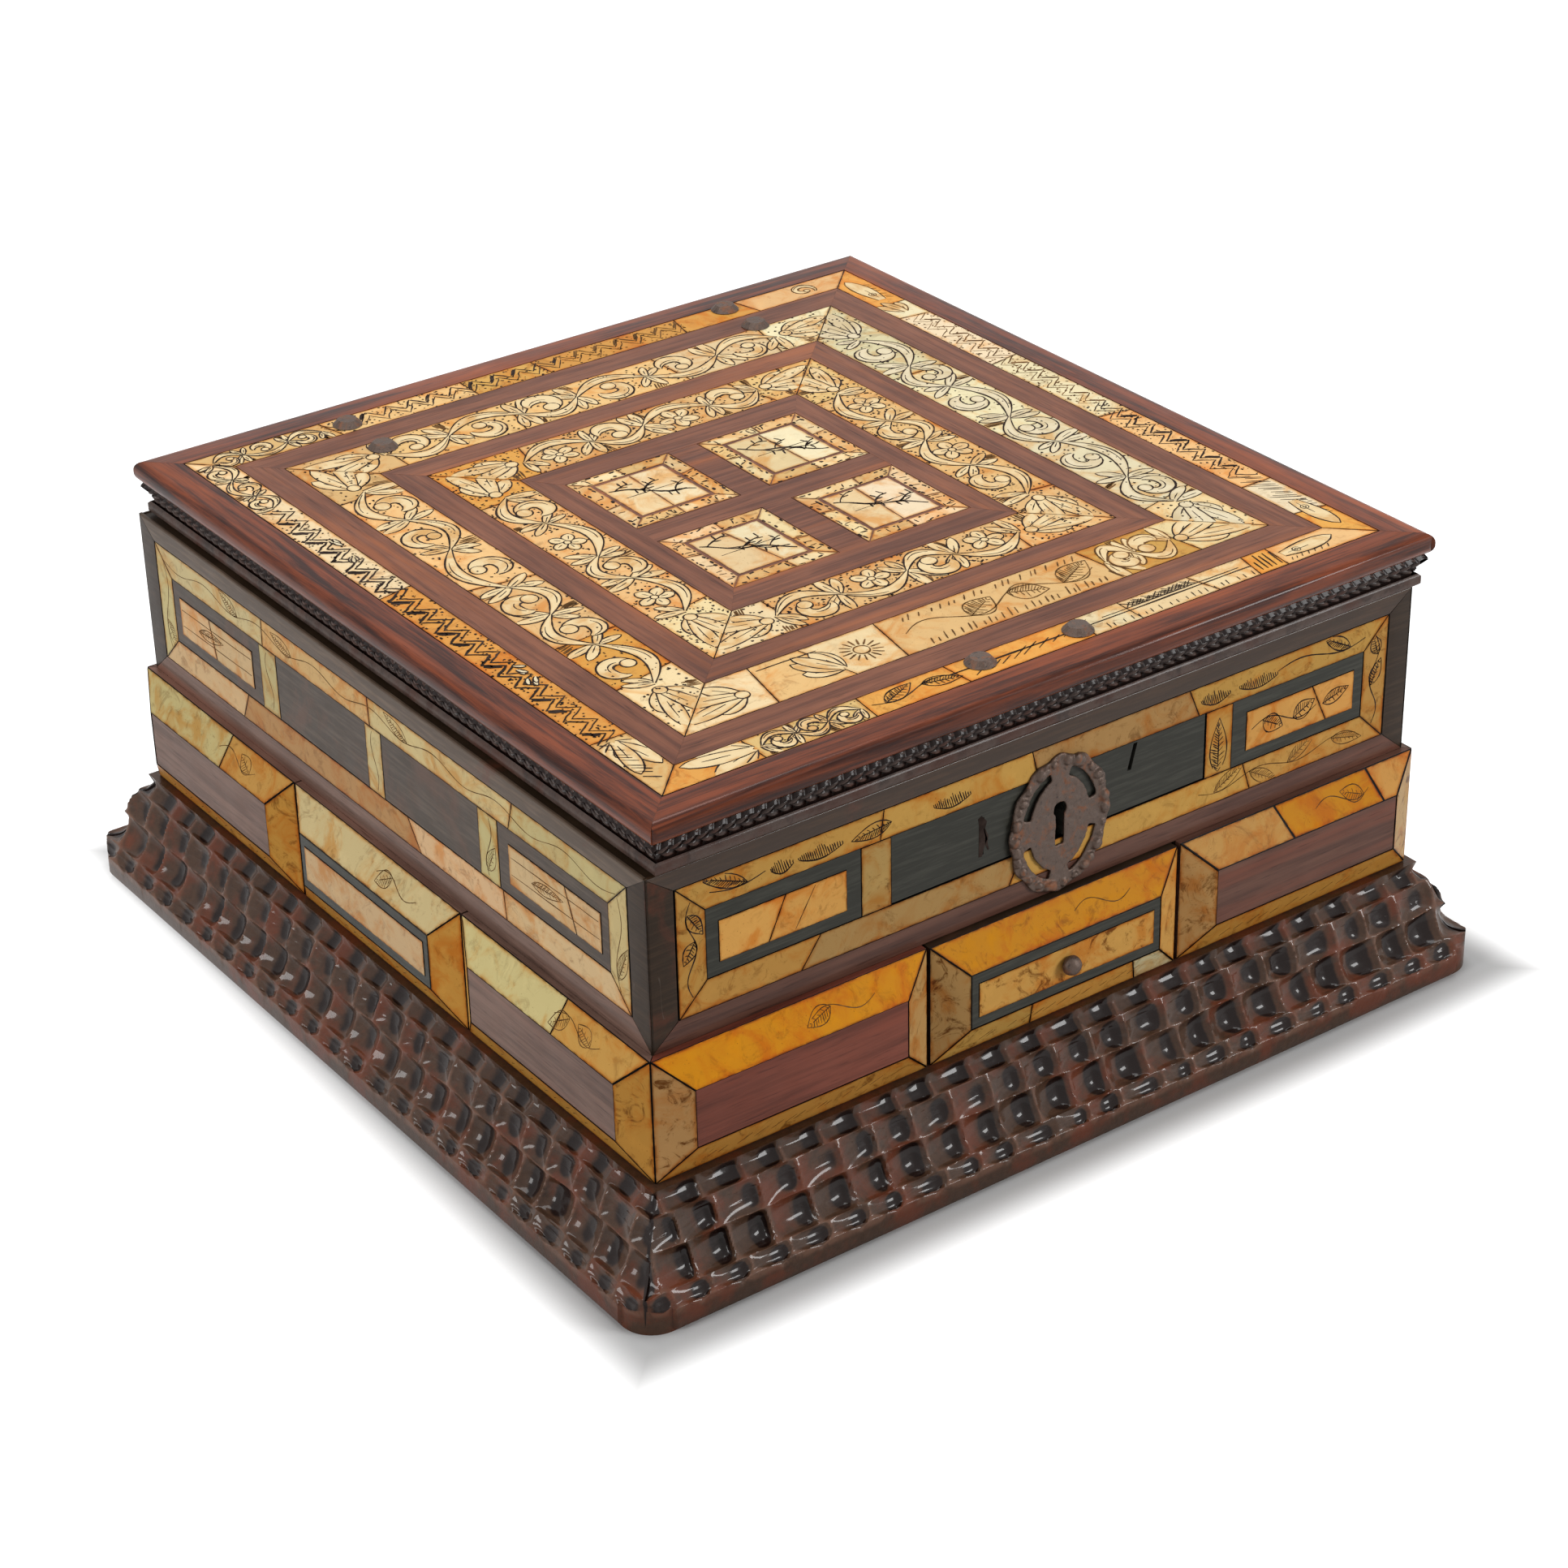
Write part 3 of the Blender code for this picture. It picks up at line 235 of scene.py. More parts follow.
@dataclass(frozen=True)
class Bone(Finish):
    """Polished bone with amber clouds, fine pores and dirt, tinted tile by tile."""

    roughness: float = 0.34
    stain: Colour = (0.88, 0.52, 0.2)
    dirt: Colour = (0.3, 0.19, 0.1)

    def paint(self, sheet: NodeSheet) -> None:
        """Lay clouds, pores and smudges over the tile's tint."""
        place, rim = sheet.place(), sheet.attribute("rim")
        cloud = sheet.patches(place, 0.46, 0.68, 70.0, 5.0, 0.62, 0.8)
        colour = sheet.layer(sheet.attribute("tint", "Color"), cloud, 0.75, self.stain, "MULTIPLY")
        milky = sheet.patches(place, 0.5, 0.75, 150.0, 3.0)
        colour = sheet.layer(colour, milky, 0.25, (1.3, 1.3, 1.35), "MULTIPLY")
        amber = sheet.times(sheet.ramp(rim, 0.05, 0.95), sheet.patches(place, 0.36, 0.6, 90.0))
        colour = sheet.layer(colour, amber, 0.7, self.stain, "MULTIPLY")
        smudge = sheet.times(sheet.patches(place, 0.51, 0.68, 125.0, 6.0, 0.74, 1.4), sheet.attribute("dirt"))
        edge = sheet.times(sheet.ramp(rim, 0.6, 1.0), sheet.patches(place, 0.3, 0.62, 260.0))
        grime = sheet.math("MAXIMUM", smudge, sheet.times(edge, 0.85))
        colour = sheet.mix(grime, colour, self.dirt, "MULTIPLY")
        pores = sheet.ramp(sheet.specks(place, 700.0), 0.16, 0.04)
        pores = sheet.times(pores, sheet.patches(place, 0.46, 0.6, 60.0))
        colour = sheet.layer(colour, pores, 0.7, self.dirt, "MULTIPLY")
        sheet.set(Base_Color=colour, IOR=1.45, Specular_IOR_Level=0.045,
                  Roughness=sheet.math("MULTIPLY_ADD", milky, 0.14, self.roughness))
        sheet.bump(sheet.cloud(place, 500.0, 3.0), 0.12, 0.0002)


@dataclass(frozen=True)
class Wash(Finish):
    """Scraped bone inside engraved outlines."""

    tint: Colour
    shade: Colour
    roughness: float = 0.36

    def paint(self, sheet: NodeSheet) -> None:
        """Let the tint run into its shade in soft clouds and along the outlines."""
        place = sheet.place()
        cloud = sheet.patches(place, 0.44, 0.7, 85.0, 4.0, 0.6, 0.6)
        edge = sheet.ramp(sheet.attribute("rim"), 0.25, 1.0)
        edge = sheet.times(edge, sheet.patches(place, 0.36, 0.62, 110.0, 3.0))
        sheet.set(Base_Color=sheet.mix(sheet.math("MAXIMUM", cloud, edge), self.tint, self.shade),
                  Roughness=self.roughness, IOR=1.45, Specular_IOR_Level=0.077)


@dataclass(frozen=True)
class Wood(Finish):
    """Polished wood whose grain runs along X, Y or Z."""

    dark: Colour
    light: Colour
    glow: Colour
    grain: str = "X"
    roughness: float = 0.3
    coat: float = 0.09

    def paint(self, sheet: NodeSheet) -> None:
        """Lay streaks, pores and a warm glow along the grain."""
        place = sheet.place()
        drawn = sheet.place(tuple(0.05 if axis == self.grain else 1.0 for axis in "XYZ"))
        streak = sheet.patches(drawn, 0.34, 0.66, 330.0, 6.0, 0.66, 0.4)
        glow = sheet.patches(drawn, 0.5, 0.72, 75.0, 5.0, 0.6, 0.8)
        colour = sheet.layer(sheet.mix(streak, self.dark, self.light), glow, 0.85, self.glow)
        pores = sheet.patches(drawn, 0.6, 0.74, 1500.0, 2.0, 0.5)
        colour = sheet.layer(colour, pores, 0.55, (0.2, 0.14, 0.12), "MULTIPLY")
        shade = sheet.patches(place, 0.35, 0.7, 22.0, 3.0)
        colour = sheet.layer(colour, shade, 0.45, (0.5, 0.42, 0.4), "MULTIPLY")
        rough = sheet.math("MULTIPLY_ADD", sheet.cloud(place, 120.0), 0.22, self.roughness - 0.06)
        sheet.set(Base_Color=colour, Roughness=rough, IOR=1.5, Specular_IOR_Level=0.098, Coat_Weight=self.coat,
                  Coat_Roughness=0.1)
        sheet.bump(sheet.cloud(drawn, 900.0, 3.0), 0.2, 0.0002)


@dataclass(frozen=True)
class Ebonised(Finish):
    """Black polished wood, worn to brown here and there."""

    black: Colour = (0.024, 0.014, 0.008)
    worn: Colour = (0.09, 0.028, 0.015)
    wear: float = 0.58
    roughness: float = 0.36
    coat: float = 0.0

    def paint(self, sheet: NodeSheet) -> None:
        """Lay faint grain, rubbed patches and scratches on the black."""
        place, drawn = sheet.place(), sheet.place((0.08, 0.08, 1.0))
        grain = sheet.patches(drawn, 0.4, 0.75, 700.0, 4.0, 0.6)
        colour = sheet.layer(self.black, grain, 0.6, tuple(part * 2.2 for part in self.black))
        rubbed = sheet.patches(place, self.wear, self.wear + 0.18, 34.0, 6.0, 0.65, 0.8)
        colour = sheet.layer(colour, rubbed, 0.75, self.worn)
        scratch = sheet.patches(sheet.place((1.0, 1.0, 0.12)), 0.7, 0.76, 420.0, 3.0, 0.7, 1.5)
        colour = sheet.layer(colour, scratch, 0.35, (0.11, 0.085, 0.07))
        rough = sheet.math("MULTIPLY_ADD", sheet.cloud(place, 160.0, 5.0, 0.65), 0.24, self.roughness - 0.1)
        sheet.set(Base_Color=colour, Roughness=rough, IOR=1.5, Specular_IOR_Level=0.098, Coat_Weight=self.coat,
                  Coat_Roughness=0.12)
        sheet.bump(sheet.cloud(drawn, 1100.0, 3.0), 0.15, 0.0002)


@dataclass(frozen=True)
class Rippled(Finish):
    """Dark varnished carving, with rubbed crests and black hollows; on the base's cells the black also holds painted
    shade on the far walls.
    """

    top: Colour = (0.06, 0.0305, 0.0178)
    crest: Colour = (0.15, 0.074, 0.047)
    red: Colour = (0.13, 0.03, 0.012)
    deep: Colour = (0.008, 0.0028, 0.0018)
    roughness: float = 0.32
    coat: float = 0.32

    def paint(self, sheet: NodeSheet) -> None:
        """Shade the carving by its stored depth."""
        place, depth = sheet.place(), sheet.attribute("hollow")
        patchy = sheet.cloud(place, 130.0, 5.0, 0.65, 0.6)
        grain = sheet.patches(place, 0.35, 0.7, 420.0, 5.0, 0.7)
        colour = sheet.layer(self.top, grain, 0.6, tuple(part * 0.55 for part in self.top))
        crest = sheet.times(sheet.ramp(depth, 0.12, 0.0), sheet.ramp(patchy, 0.34, 0.58))
        colour = sheet.layer(colour, crest, 0.75, self.crest)
        rust = sheet.times(sheet.patches(place, 0.45, 0.64, 62.0, 5.0, 0.6), sheet.ramp(depth, 0.62, 0.15))
        colour = sheet.layer(colour, rust, 0.7, self.red)
        # Black from the stored darkness: darker with depth, and painted shade on the far walls of the base's cells.
        black = sheet.ramp(sheet.math("ADD", depth, sheet.times(patchy, 0.4)), 0.54, 0.78)
        colour = sheet.mix(black, colour, self.deep)
        rough = sheet.math("MULTIPLY_ADD", sheet.cloud(place, 190.0, 5.0, 0.7), 0.3, self.roughness - 0.06)
        sheet.set(Base_Color=colour, Roughness=rough, IOR=1.5, Specular_IOR_Level=0.077, Coat_Weight=self.coat,
                  Coat_Roughness=0.09)
        sheet.bump(sheet.cloud(place, 300.0, 5.0, 0.6), 0.35, 0.0008)


@dataclass(frozen=True)
class Iron(Finish):
    """Dark forged iron with rust."""

    iron: Colour = (0.074, 0.048, 0.036)
    rust: Colour = (0.172, 0.062, 0.025)
    roughness: float = 0.46
    metal: float = 0.55

    def paint(self, sheet: NodeSheet) -> None:
        """Lay rust blooms and pits on the iron."""
        place = sheet.place()
        bloom = sheet.patches(place, 0.5, 0.72, 210.0, 6.0, 0.68, 0.5)
        pits = sheet.patches(place, 0.56, 0.7, 620.0, 4.0, 0.6)
        colour = sheet.layer(sheet.mix(bloom, self.iron, self.rust), pits, 0.8, (0.016, 0.01, 0.008))
        sheet.set(Base_Color=colour, Metallic=self.metal,
                  Roughness=sheet.math("MULTIPLY_ADD", bloom, 0.3, self.roughness))
        sheet.bump(sheet.cloud(place, 520.0, 5.0, 0.65), 0.55, 0.0006)


@dataclass(frozen=True)
class Line(Finish):
    """The dark wax in engraved lines and the glue in joints."""

    colour: Colour = (0.022, 0.012, 0.008)
    roughness: float = 0.6

    def paint(self, sheet: NodeSheet) -> None:
        """Vary the wax a little from place to place."""
        thick = sheet.patches(sheet.place(), 0.42, 0.72, 130.0)
        faint = tuple(min(1.0, part * 2.4 + 0.008) for part in self.colour)
        sheet.set(Base_Color=sheet.mix(thick, self.colour, faint), Roughness=self.roughness,
                  Specular_IOR_Level=0.042)


RED = Wood((0.095, 0.0325, 0.018), (0.188, 0.068, 0.035), (0.275, 0.084, 0.028))
NOSE = Wood((0.024, 0.0055, 0.003), (0.172, 0.038, 0.012), (0.28, 0.058, 0.009), coat=0.17)
PURPLE = Wood((0.074, 0.032, 0.022), (0.13, 0.059, 0.04), (0.165, 0.054, 0.032), roughness=0.4)
# The purple wood lightened for the right and left sides: a painted reflection of the lamp-lit room.
GREY = Wood((0.106, 0.062, 0.047), (0.184, 0.109, 0.083), (0.21, 0.101, 0.072), roughness=0.42)
CRIMSON = Wood((0.11, 0.029, 0.017), (0.195, 0.053, 0.032), (0.22, 0.055, 0.03), roughness=0.38)
BARE = Wood((0.13, 0.07, 0.034), (0.25, 0.15, 0.08), (0.28, 0.16, 0.08), "Y", 0.6, 0.0)
EBONY = Ebonised()
EDGE = Ebonised(black=(0.032, 0.0165, 0.0085), coat=0.27)
# The edge's black lightened for the right and left upper borders: a painted reflection of the lamp-lit room.
DUSTY = Ebonised(black=(0.068, 0.045, 0.03), coat=0.135)
CORNER = Ebonised(wear=0.46)
SLATE = Ebonised(black=(0.029, 0.0285, 0.023), wear=0.66)
# Brownish, more worn black of the side windows, also lightened as a painted reflection of the lamp-lit room.
SMOKE = Ebonised(black=(0.053, 0.039, 0.0295), worn=(0.1, 0.055, 0.038), wear=0.5)
RIPPLE = Rippled()
BRAID = Rippled((0.046, 0.031, 0.026), (0.09, 0.061, 0.05), (0.06, 0.022, 0.014), roughness=0.4, coat=0.13)
IRON = Iron()
GLUE = Line()
TILES = (Bone(), GLUE)
CUTS = (Line((0.014, 0.008, 0.006)), Line((0.072, 0.034, 0.01)),
        Wash((0.62, 0.485, 0.275), (0.5, 0.285, 0.1)), Wash((0.58, 0.5, 0.34), (0.47, 0.37, 0.21)))


class Bench:
    """Modelling steps shared by all pieces."""

    @staticmethod
    def clear() -> None:
        """Deselect every object."""
        bpy.ops.object.select_all(action="DESELECT")

    @staticmethod
    def choose(piece: Piece) -> None:
        """Make a piece the one selected and active object."""
        Bench.clear()
        piece.select_set(True)
        bpy.context.view_layer.objects.active = piece

    @staticmethod
    @contextmanager
    def editing(piece: Piece, kind: str = "FACE", whole: bool = True) -> Iterator[None]:
        """Open a piece in edit mode with nothing else selected, and close it again.

        Args:
            piece: mesh object to edit.
            kind: VERT, EDGE or FACE selection.
            whole: whether all of the piece is selected first.

        Returns:
            A context in which mesh operators act on the piece.
        """
        Bench.choose(piece)
        bpy.ops.object.mode_set(mode="EDIT")
        bpy.ops.mesh.select_mode(type=kind)
        if whole:
            bpy.ops.mesh.select_all(action="SELECT")
        yield
        bpy.ops.object.mode_set(mode="OBJECT")

    @staticmethod
    def pick(piece: Piece, parts: str, chosen: Sequence[bool]) -> None:
        """Select some of a mesh's polygons or edges and nothing else, in object mode."""
        for kind in ("vertices", "edges", "polygons"):
            items = getattr(piece.data, kind)
            items.foreach_set("select", chosen if kind == parts else [False] * len(items))

    @staticmethod
    def named(name: str) -> Piece:
        """Return the primitive just added, under its name."""
        piece = bpy.context.active_object
        piece.name = piece.data.name = name
        return piece

    @staticmethod
    def hang(name: str, data: bpy.types.ID) -> Piece:
        """Put new data into the scene as an object."""
        piece = bpy.data.objects.new(name, data)
        bpy.context.scene.collection.objects.link(piece)
        return piece

    @staticmethod
    def plane(name: str, low: Point2, high: Point2) -> Piece:
        """Add a flat sheet between two corners, facing up."""
        Bench.clear()
        bpy.ops.mesh.primitive_plane_add(size=1.0)
        piece = Bench.named(name)
        piece.data.transform(Matrix.Diagonal((high[0] - low[0], high[1] - low[1], 1.0, 1.0)))
        piece.data.transform(Matrix.Translation(((low[0] + high[0]) / 2, (low[1] + high[1]) / 2, 0.0)))
        return piece

    @staticmethod
    def block(name: str, low: Sequence[float], high: Sequence[float]) -> Piece:
        """Add a block between two corners."""
        Bench.clear()
        bpy.ops.mesh.primitive_cube_add(size=1.0)
        piece = Bench.named(name)
        low, high = Vector(low), Vector(high)
        piece.data.transform(Matrix.Translation((low + high) / 2) @ Matrix.Diagonal((*(high - low), 1.0)))
        return piece

    @staticmethod
    def plate(name: str, low: Sequence[float], high: Sequence[float]) -> Piece:
        """Add a block with broken edges between two corners."""
        piece = Bench.block(name, low, high)
        with Bench.editing(piece):
            bpy.ops.mesh.bevel(offset=BROKEN_EDGE, segments=1)
        return piece

    @staticmethod
    def cut(piece: Piece, point: Sequence[float], normal: Sequence[float], away: bool = False) -> None:
        """Cut a piece by a plane, and close it where the far side is taken away."""
        with Bench.editing(piece):
            bpy.ops.mesh.bisect(plane_co=point, plane_no=Vector(normal).normalized(), clear_outer=away,
                                use_fill=away, threshold=TINY)

    @staticmethod
    def apply(piece: Piece, kind: str, **settings: object) -> None:
        """Add a modifier with its settings and apply it."""
        Bench.choose(piece)
        modifier = piece.modifiers.new(kind.lower(), kind)
        for key, value in settings.items():
            setattr(modifier, key, value)
        bpy.ops.object.modifier_apply(modifier=modifier.name)

    @staticmethod
    def join(name: str, pieces: Sequence[Piece]) -> Piece:
        """Join pieces into one object of that name."""
        Bench.clear()
        for piece in pieces:
            piece.select_set(True)
        bpy.context.view_layer.objects.active = pieces[0]
        if len(pieces) > 1:
            bpy.ops.object.join()
        return Bench.named(name)

    @staticmethod
    def copy(node: str, name: str) -> Piece:
        """Return a copy of a solid's mesh as a new object, with its loose faces merged."""
        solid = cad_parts[node]
        mesh = solid.data.copy()
        mesh.transform(solid.matrix_world)
        piece = Bench.hang(name, mesh)
        with Bench.editing(piece, "VERT"):
            bpy.ops.mesh.remove_doubles(threshold=TINY)
        return piece

    @staticmethod
    def roughen(piece: Piece, depth: float, scale: float) -> None:
        """Move every vertex a little along its normal, as hammering and rust do."""
        moved = [vertex.co + vertex.normal * (depth * noise.fractal(vertex.co * scale, 0.8, 2.0, 3))
                 for vertex in piece.data.vertices]
        piece.data.vertices.foreach_set("co", [part for place in moved for part in place])

    @staticmethod
    def smooth(piece: Piece, angle: float = 35.0) -> None:
        """Shade a piece smooth apart from its sharp edges."""
        Bench.choose(piece)
        bpy.ops.object.shade_smooth_by_angle(angle=math.radians(angle))

    @staticmethod
    def store(piece: Piece, name: str, domain: str, values: Sequence[float]) -> None:
        """Store a number on each point or face of a piece."""
        piece.data.attributes.new(name, "FLOAT", domain).data.foreach_set("value", values)

    @staticmethod
    def dress(piece: Piece, *finishes: Finish) -> None:
        """Give a piece its materials, one for each material index."""
        piece.data.materials.clear()
        for finish in finishes:
            piece.data.materials.append(finish.material())

    @staticmethod
    def hand_over(piece: Piece, finishes: Sequence[Finish], body: str, slot: str, *nodes: str) -> None:
        """Dress a finished piece and let it ride on a body, in place of some solids.

        Args:
            piece: finished piece, in place.
            finishes: its finishes by material index, or none where it is dressed.
            body: body that it moves with.
            slot: not used.
            nodes: solids that it stands for.
        """
        if finishes:
            Bench.dress(piece, *finishes)
        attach(piece, body)
        if nodes:
            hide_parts(*nodes)
        LOG.info("%s: %d faces on %s", piece.name, len(piece.data.polygons), body)


@dataclass(frozen=True)
class Bed:
    """A flat place on the casket, with its own along, across and outward directions."""

    origin: Vector
    along: Vector
    across: Vector

    def matrix(self) -> Matrix:
        """Return the matrix from the bed to the casket."""
        outward = self.along.cross(self.across)
        columns = Matrix((self.along, self.across, outward)).transposed().to_4x4()
        return Matrix.Translation(self.origin) @ columns

    def ring(self, half: Point2, width: float, rise: float = 0.0) -> list["Bed"]:
        """Return the beds of the four strips round a rectangle, from its lower edge anticlockwise.

        Args:
            half: half sizes of the rectangle along and across.
            width: width of the strips, seen from above.
            rise: height of the strips' inner edges above their outer ones.

        Returns:
            Four beds, each starting at the middle of a strip's outer edge.
        """
        outward = self.along.cross(self.across)
        slant = Vector((width, rise)).normalized()
        beds = []
        for step in range(4):
            turn = Matrix.Rotation(step * math.pi / 2, 3, outward)
            along, inward = turn @ self.along, turn @ self.across
            reach = half[1] if step % 2 == 0 else half[0]
            beds.append(Bed(self.origin - inward * reach, along, inward * slant.x + outward * slant.y))
        return beds

    def moved(self, along: float = 0.0, across: float = 0.0, out: float = 0.0) -> "Bed":
        """Return the same bed moved in its own directions."""
        shift = self.along * along + self.across * across + self.along.cross(self.across) * out
        return Bed(self.origin + shift, self.along, self.across)


def casket_bed(side: Side, plane: float, low: float) -> Bed:
    """Return the bed on one side of the case.

    Args:
        side: side of the case.
        plane: distance of the face from the middle of the case.
        low: height of the bed's origin.

    Returns:
        The bed, with across pointing up.
    """
    turn = side.turn().to_3x3()
    return Bed(turn @ Vector((0.0, -plane, low)), turn @ X_WAY, Z_WAY)


@dataclass
class TileStrip:
    """A strip of bone tiles with dark joints, laid in a bed, with square or mitred ends."""

    bed: Bed
    half: float
    width: float
    run: Point2 = (0.0, 0.0)
    joints: Sequence[float] = ()
    tones: Sequence[Tone] = (Tone.CREAM,)
    dirt: float = 0.3
    seed: int = 1
    lean: float = 0.25
    joint: float = 0.0002
    lift: float = 0.00012
    thick: float = 0.001
    proud: float = 0.00003
    rim: float = 0.0018

    def build(self, name: str) -> Piece:
        """Model the strip.

        Args:
            name: name of the object.

        Returns:
            The strip in its place, as one closed object.
        """
        rng = random.Random(self.seed)
        piece = Bench.plane(name, (-self.half, 0.0), (self.half, self.width))
        for place in self.joints:
            lean = rng.uniform(-self.lean, self.lean)
            Bench.cut(piece, (place, self.width / 2, 0.0), (1.0, lean, 0.0))
        for way, run in zip((-1.0, 1.0), self.run):
            if run:
                Bench.cut(piece, (way * self.half, 0.0, 0.0), (way * self.width, run, 0.0), True)
        with Bench.editing(piece):
            bpy.ops.mesh.inset(thickness=self.joint, use_individual=True)
            bpy.ops.mesh.extrude_region_move(TRANSFORM_OT_translate={"value": (0.0, 0.0, self.lift)})
            bpy.ops.mesh.inset(thickness=self.rim, use_individual=True)
        self.tint(piece, rng)
        Bench.apply(piece, "SOLIDIFY", thickness=self.thick, offset=-1.0)
        piece.data.transform(self.bed.matrix() @ Matrix.Translation((0.0, 0.0, self.proud - self.lift)))
        return piece

    def tint(self, piece: Piece, rng: random.Random) -> None:
        """Give each tile its tone, its share of dirt and a dark rim, and the joints their glue."""
        mesh = piece.data
        tops = [face for face in mesh.polygons if face.center.z > self.lift * 0.9]
        tiles = sorted((face for face in tops if face.select), key=lambda face: face.center.x)
        colours = np.zeros((len(mesh.polygons), 4), np.float32)
        colours[:, 3] = 1.0
        grime = np.zeros(len(mesh.polygons), np.float32)
        rims = np.zeros(len(mesh.vertices), np.float32)
        shades = []
        for index in range(len(tiles)):
            tone = self.tones[index % len(self.tones)].value
            shade = rng.uniform(0.88, 1.1)
            shades.append(([min(1.0, part * shade * rng.uniform(0.96, 1.04)) for part in tone],
                           self.dirt * rng.uniform(0.5, 1.3)))
        touching = {vertex: index for index, tile in enumerate(tiles) for vertex in tile.vertices}
        for face in tops:
            nearest = next((touching[vertex] for vertex in face.vertices if vertex in touching), 0)
            colours[face.index, :3], grime[face.index] = shades[nearest]
            for vertex in face.vertices:
                rims[vertex] = 0.0 if vertex in touching else 1.0
        chosen = {face.index for face in tops}
        mesh.polygons.foreach_set("material_index", [0 if face.index in chosen else 1 for face in mesh.polygons])
        mesh.attributes.new("tint", "FLOAT_COLOR", "FACE").data.foreach_set("color", colours.ravel())
        Bench.store(piece, "dirt", "FACE", grime)
        Bench.store(piece, "rim", "POINT", rims)


@dataclass
class WoodStrip:
    """A strip of wood with mitred ends, whose long outer edges can be rounded."""

    bed: Bed
    half: float
    width: float
    run: Point2
    low: float
    high: float
    rounding: float = 0.0
    both: bool = False
    gap: float = 0.00006

    def build(self, name: str) -> Piece:
        """Model the strip.

        Args:
            name: name of the object.

        Returns:
            The strip in its place.
        """
        piece = Bench.block(name, (-self.half, 0.0, self.low), (self.half, self.width, self.high))
        if self.rounding:
            tops = (self.high, self.low) if self.both else (self.high,)
            ends = [[piece.data.vertices[index].co for index in edge.vertices] for edge in piece.data.edges]
            Bench.pick(piece, "edges", [
                any(all(abs(end.y) < TINY and abs(end.z - top) < TINY for end in pair) for top in tops)
                for pair in ends])
            with Bench.editing(piece, "EDGE", False):
                bpy.ops.mesh.bevel(offset=self.rounding, segments=6, profile=0.5)
        for way, run in zip((-1.0, 1.0), self.run):
            Bench.cut(piece, (way * (self.half - self.gap), 0.0, 0.0), (way * self.width, run, 0.0), True)
        piece.data.transform(self.bed.matrix())
        Bench.smooth(piece)
        return piece


class Ink(Enum):
    """What a stroke or a shape of an engraving is filled with."""

    BLACK = 0
    BROWN = 1
    CREAM = 2
    PALE = 3


def polar(centre: Point2, reach: float, turn: float) -> Point2:
    """Return the place at a distance and a turn from a centre."""
    return centre[0] + reach * math.cos(turn), centre[1] + reach * math.sin(turn)


def between(first: Point2, second: Point2, share: float) -> Point2:
    """Return the place at a share of the way from one place to another."""
    return first[0] + (second[0] - first[0]) * share, first[1] + (second[1] - first[1]) * share


def walk(points: Sequence[Sequence[float]]) -> list[float]:
    """Return the distance of each point of a line from the line's start."""
    walked = [0.0]
    for first, second in zip(points, points[1:]):
        walked.append(walked[-1] + (Vector(second) - Vector(first)).length)
    return walked


def flank(path: Sequence[Point2], halves: Sequence[float]) -> tuple[list[Point2], list[Point2]]:
    """Return the lines on both sides of a path.

    Args:
        path: points of the path.
        halves: distance of the two lines from each point.

    Returns:
        The left line and the right line, seen along the path.
    """
    left, right = [], []
    for index, ((x, y), half) in enumerate(zip(path, halves)):
        before, after = path[max(index - 1, 0)], path[min(index + 1, len(path) - 1)]
        way = Vector((after[0] - before[0], after[1] - before[1]))
        if way.length < 1e-9:
            way = Vector((1.0, 0.0))
        way.normalize()
        left.append((x - way.y * half, y + way.x * half))
        right.append((x + way.y * half, y - way.x * half))
    return left, right


class Engraving:
    """Dark strokes and pale shapes on many beds, gathered into one piece."""

    def __init__(self, sunk: float = 0.00003) -> None:
        """Start with no strokes."""
        self.sunk = sunk
        self.points: list[Vector] = []
        self.faces: list[tuple[int, ...]] = []
        self.inks: list[int] = []
        self.rims: list[float] = []

    def sheet(self, matrix: Matrix, lines: Sequence[Sequence[Point2]], ink: Ink) -> None:
        """Add a flat band through two or three lines side by side.

        Args:
            matrix: matrix of the bed that the band lies on.
            lines: its lines from left to right, with as many points each.
            ink: what it is filled with.
        """
        first, count = len(self.points), len(lines)
        for places in zip(*lines):
            for index, place in enumerate(places):
                self.points.append(matrix @ Vector((*place, 0.0)))
                self.rims.append(1.0 if index in (0, count - 1) else 0.0)
        for start in range(first, len(self.points) - count, count):
            for corner in range(start, start + count - 1):
                self.faces.append((corner, corner + 1, corner + count + 1, corner + count))
                self.inks.append(ink.value)

    def build(self, name: str, body: str) -> None:
        """Make the gathered strokes one closed piece that rides on a body."""
        mesh = bpy.data.meshes.new(name)
        mesh.from_pydata(self.points, [], self.faces)
        piece = Bench.hang(name, mesh)
        Bench.dress(piece, *CUTS)
        mesh.polygons.foreach_set("material_index", self.inks)
        Bench.store(piece, "rim", "POINT", self.rims)
        Bench.apply(piece, "SOLIDIFY", thickness=2 * self.sunk, offset=0.0)
        Bench.hand_over(piece, (), body, "bone")


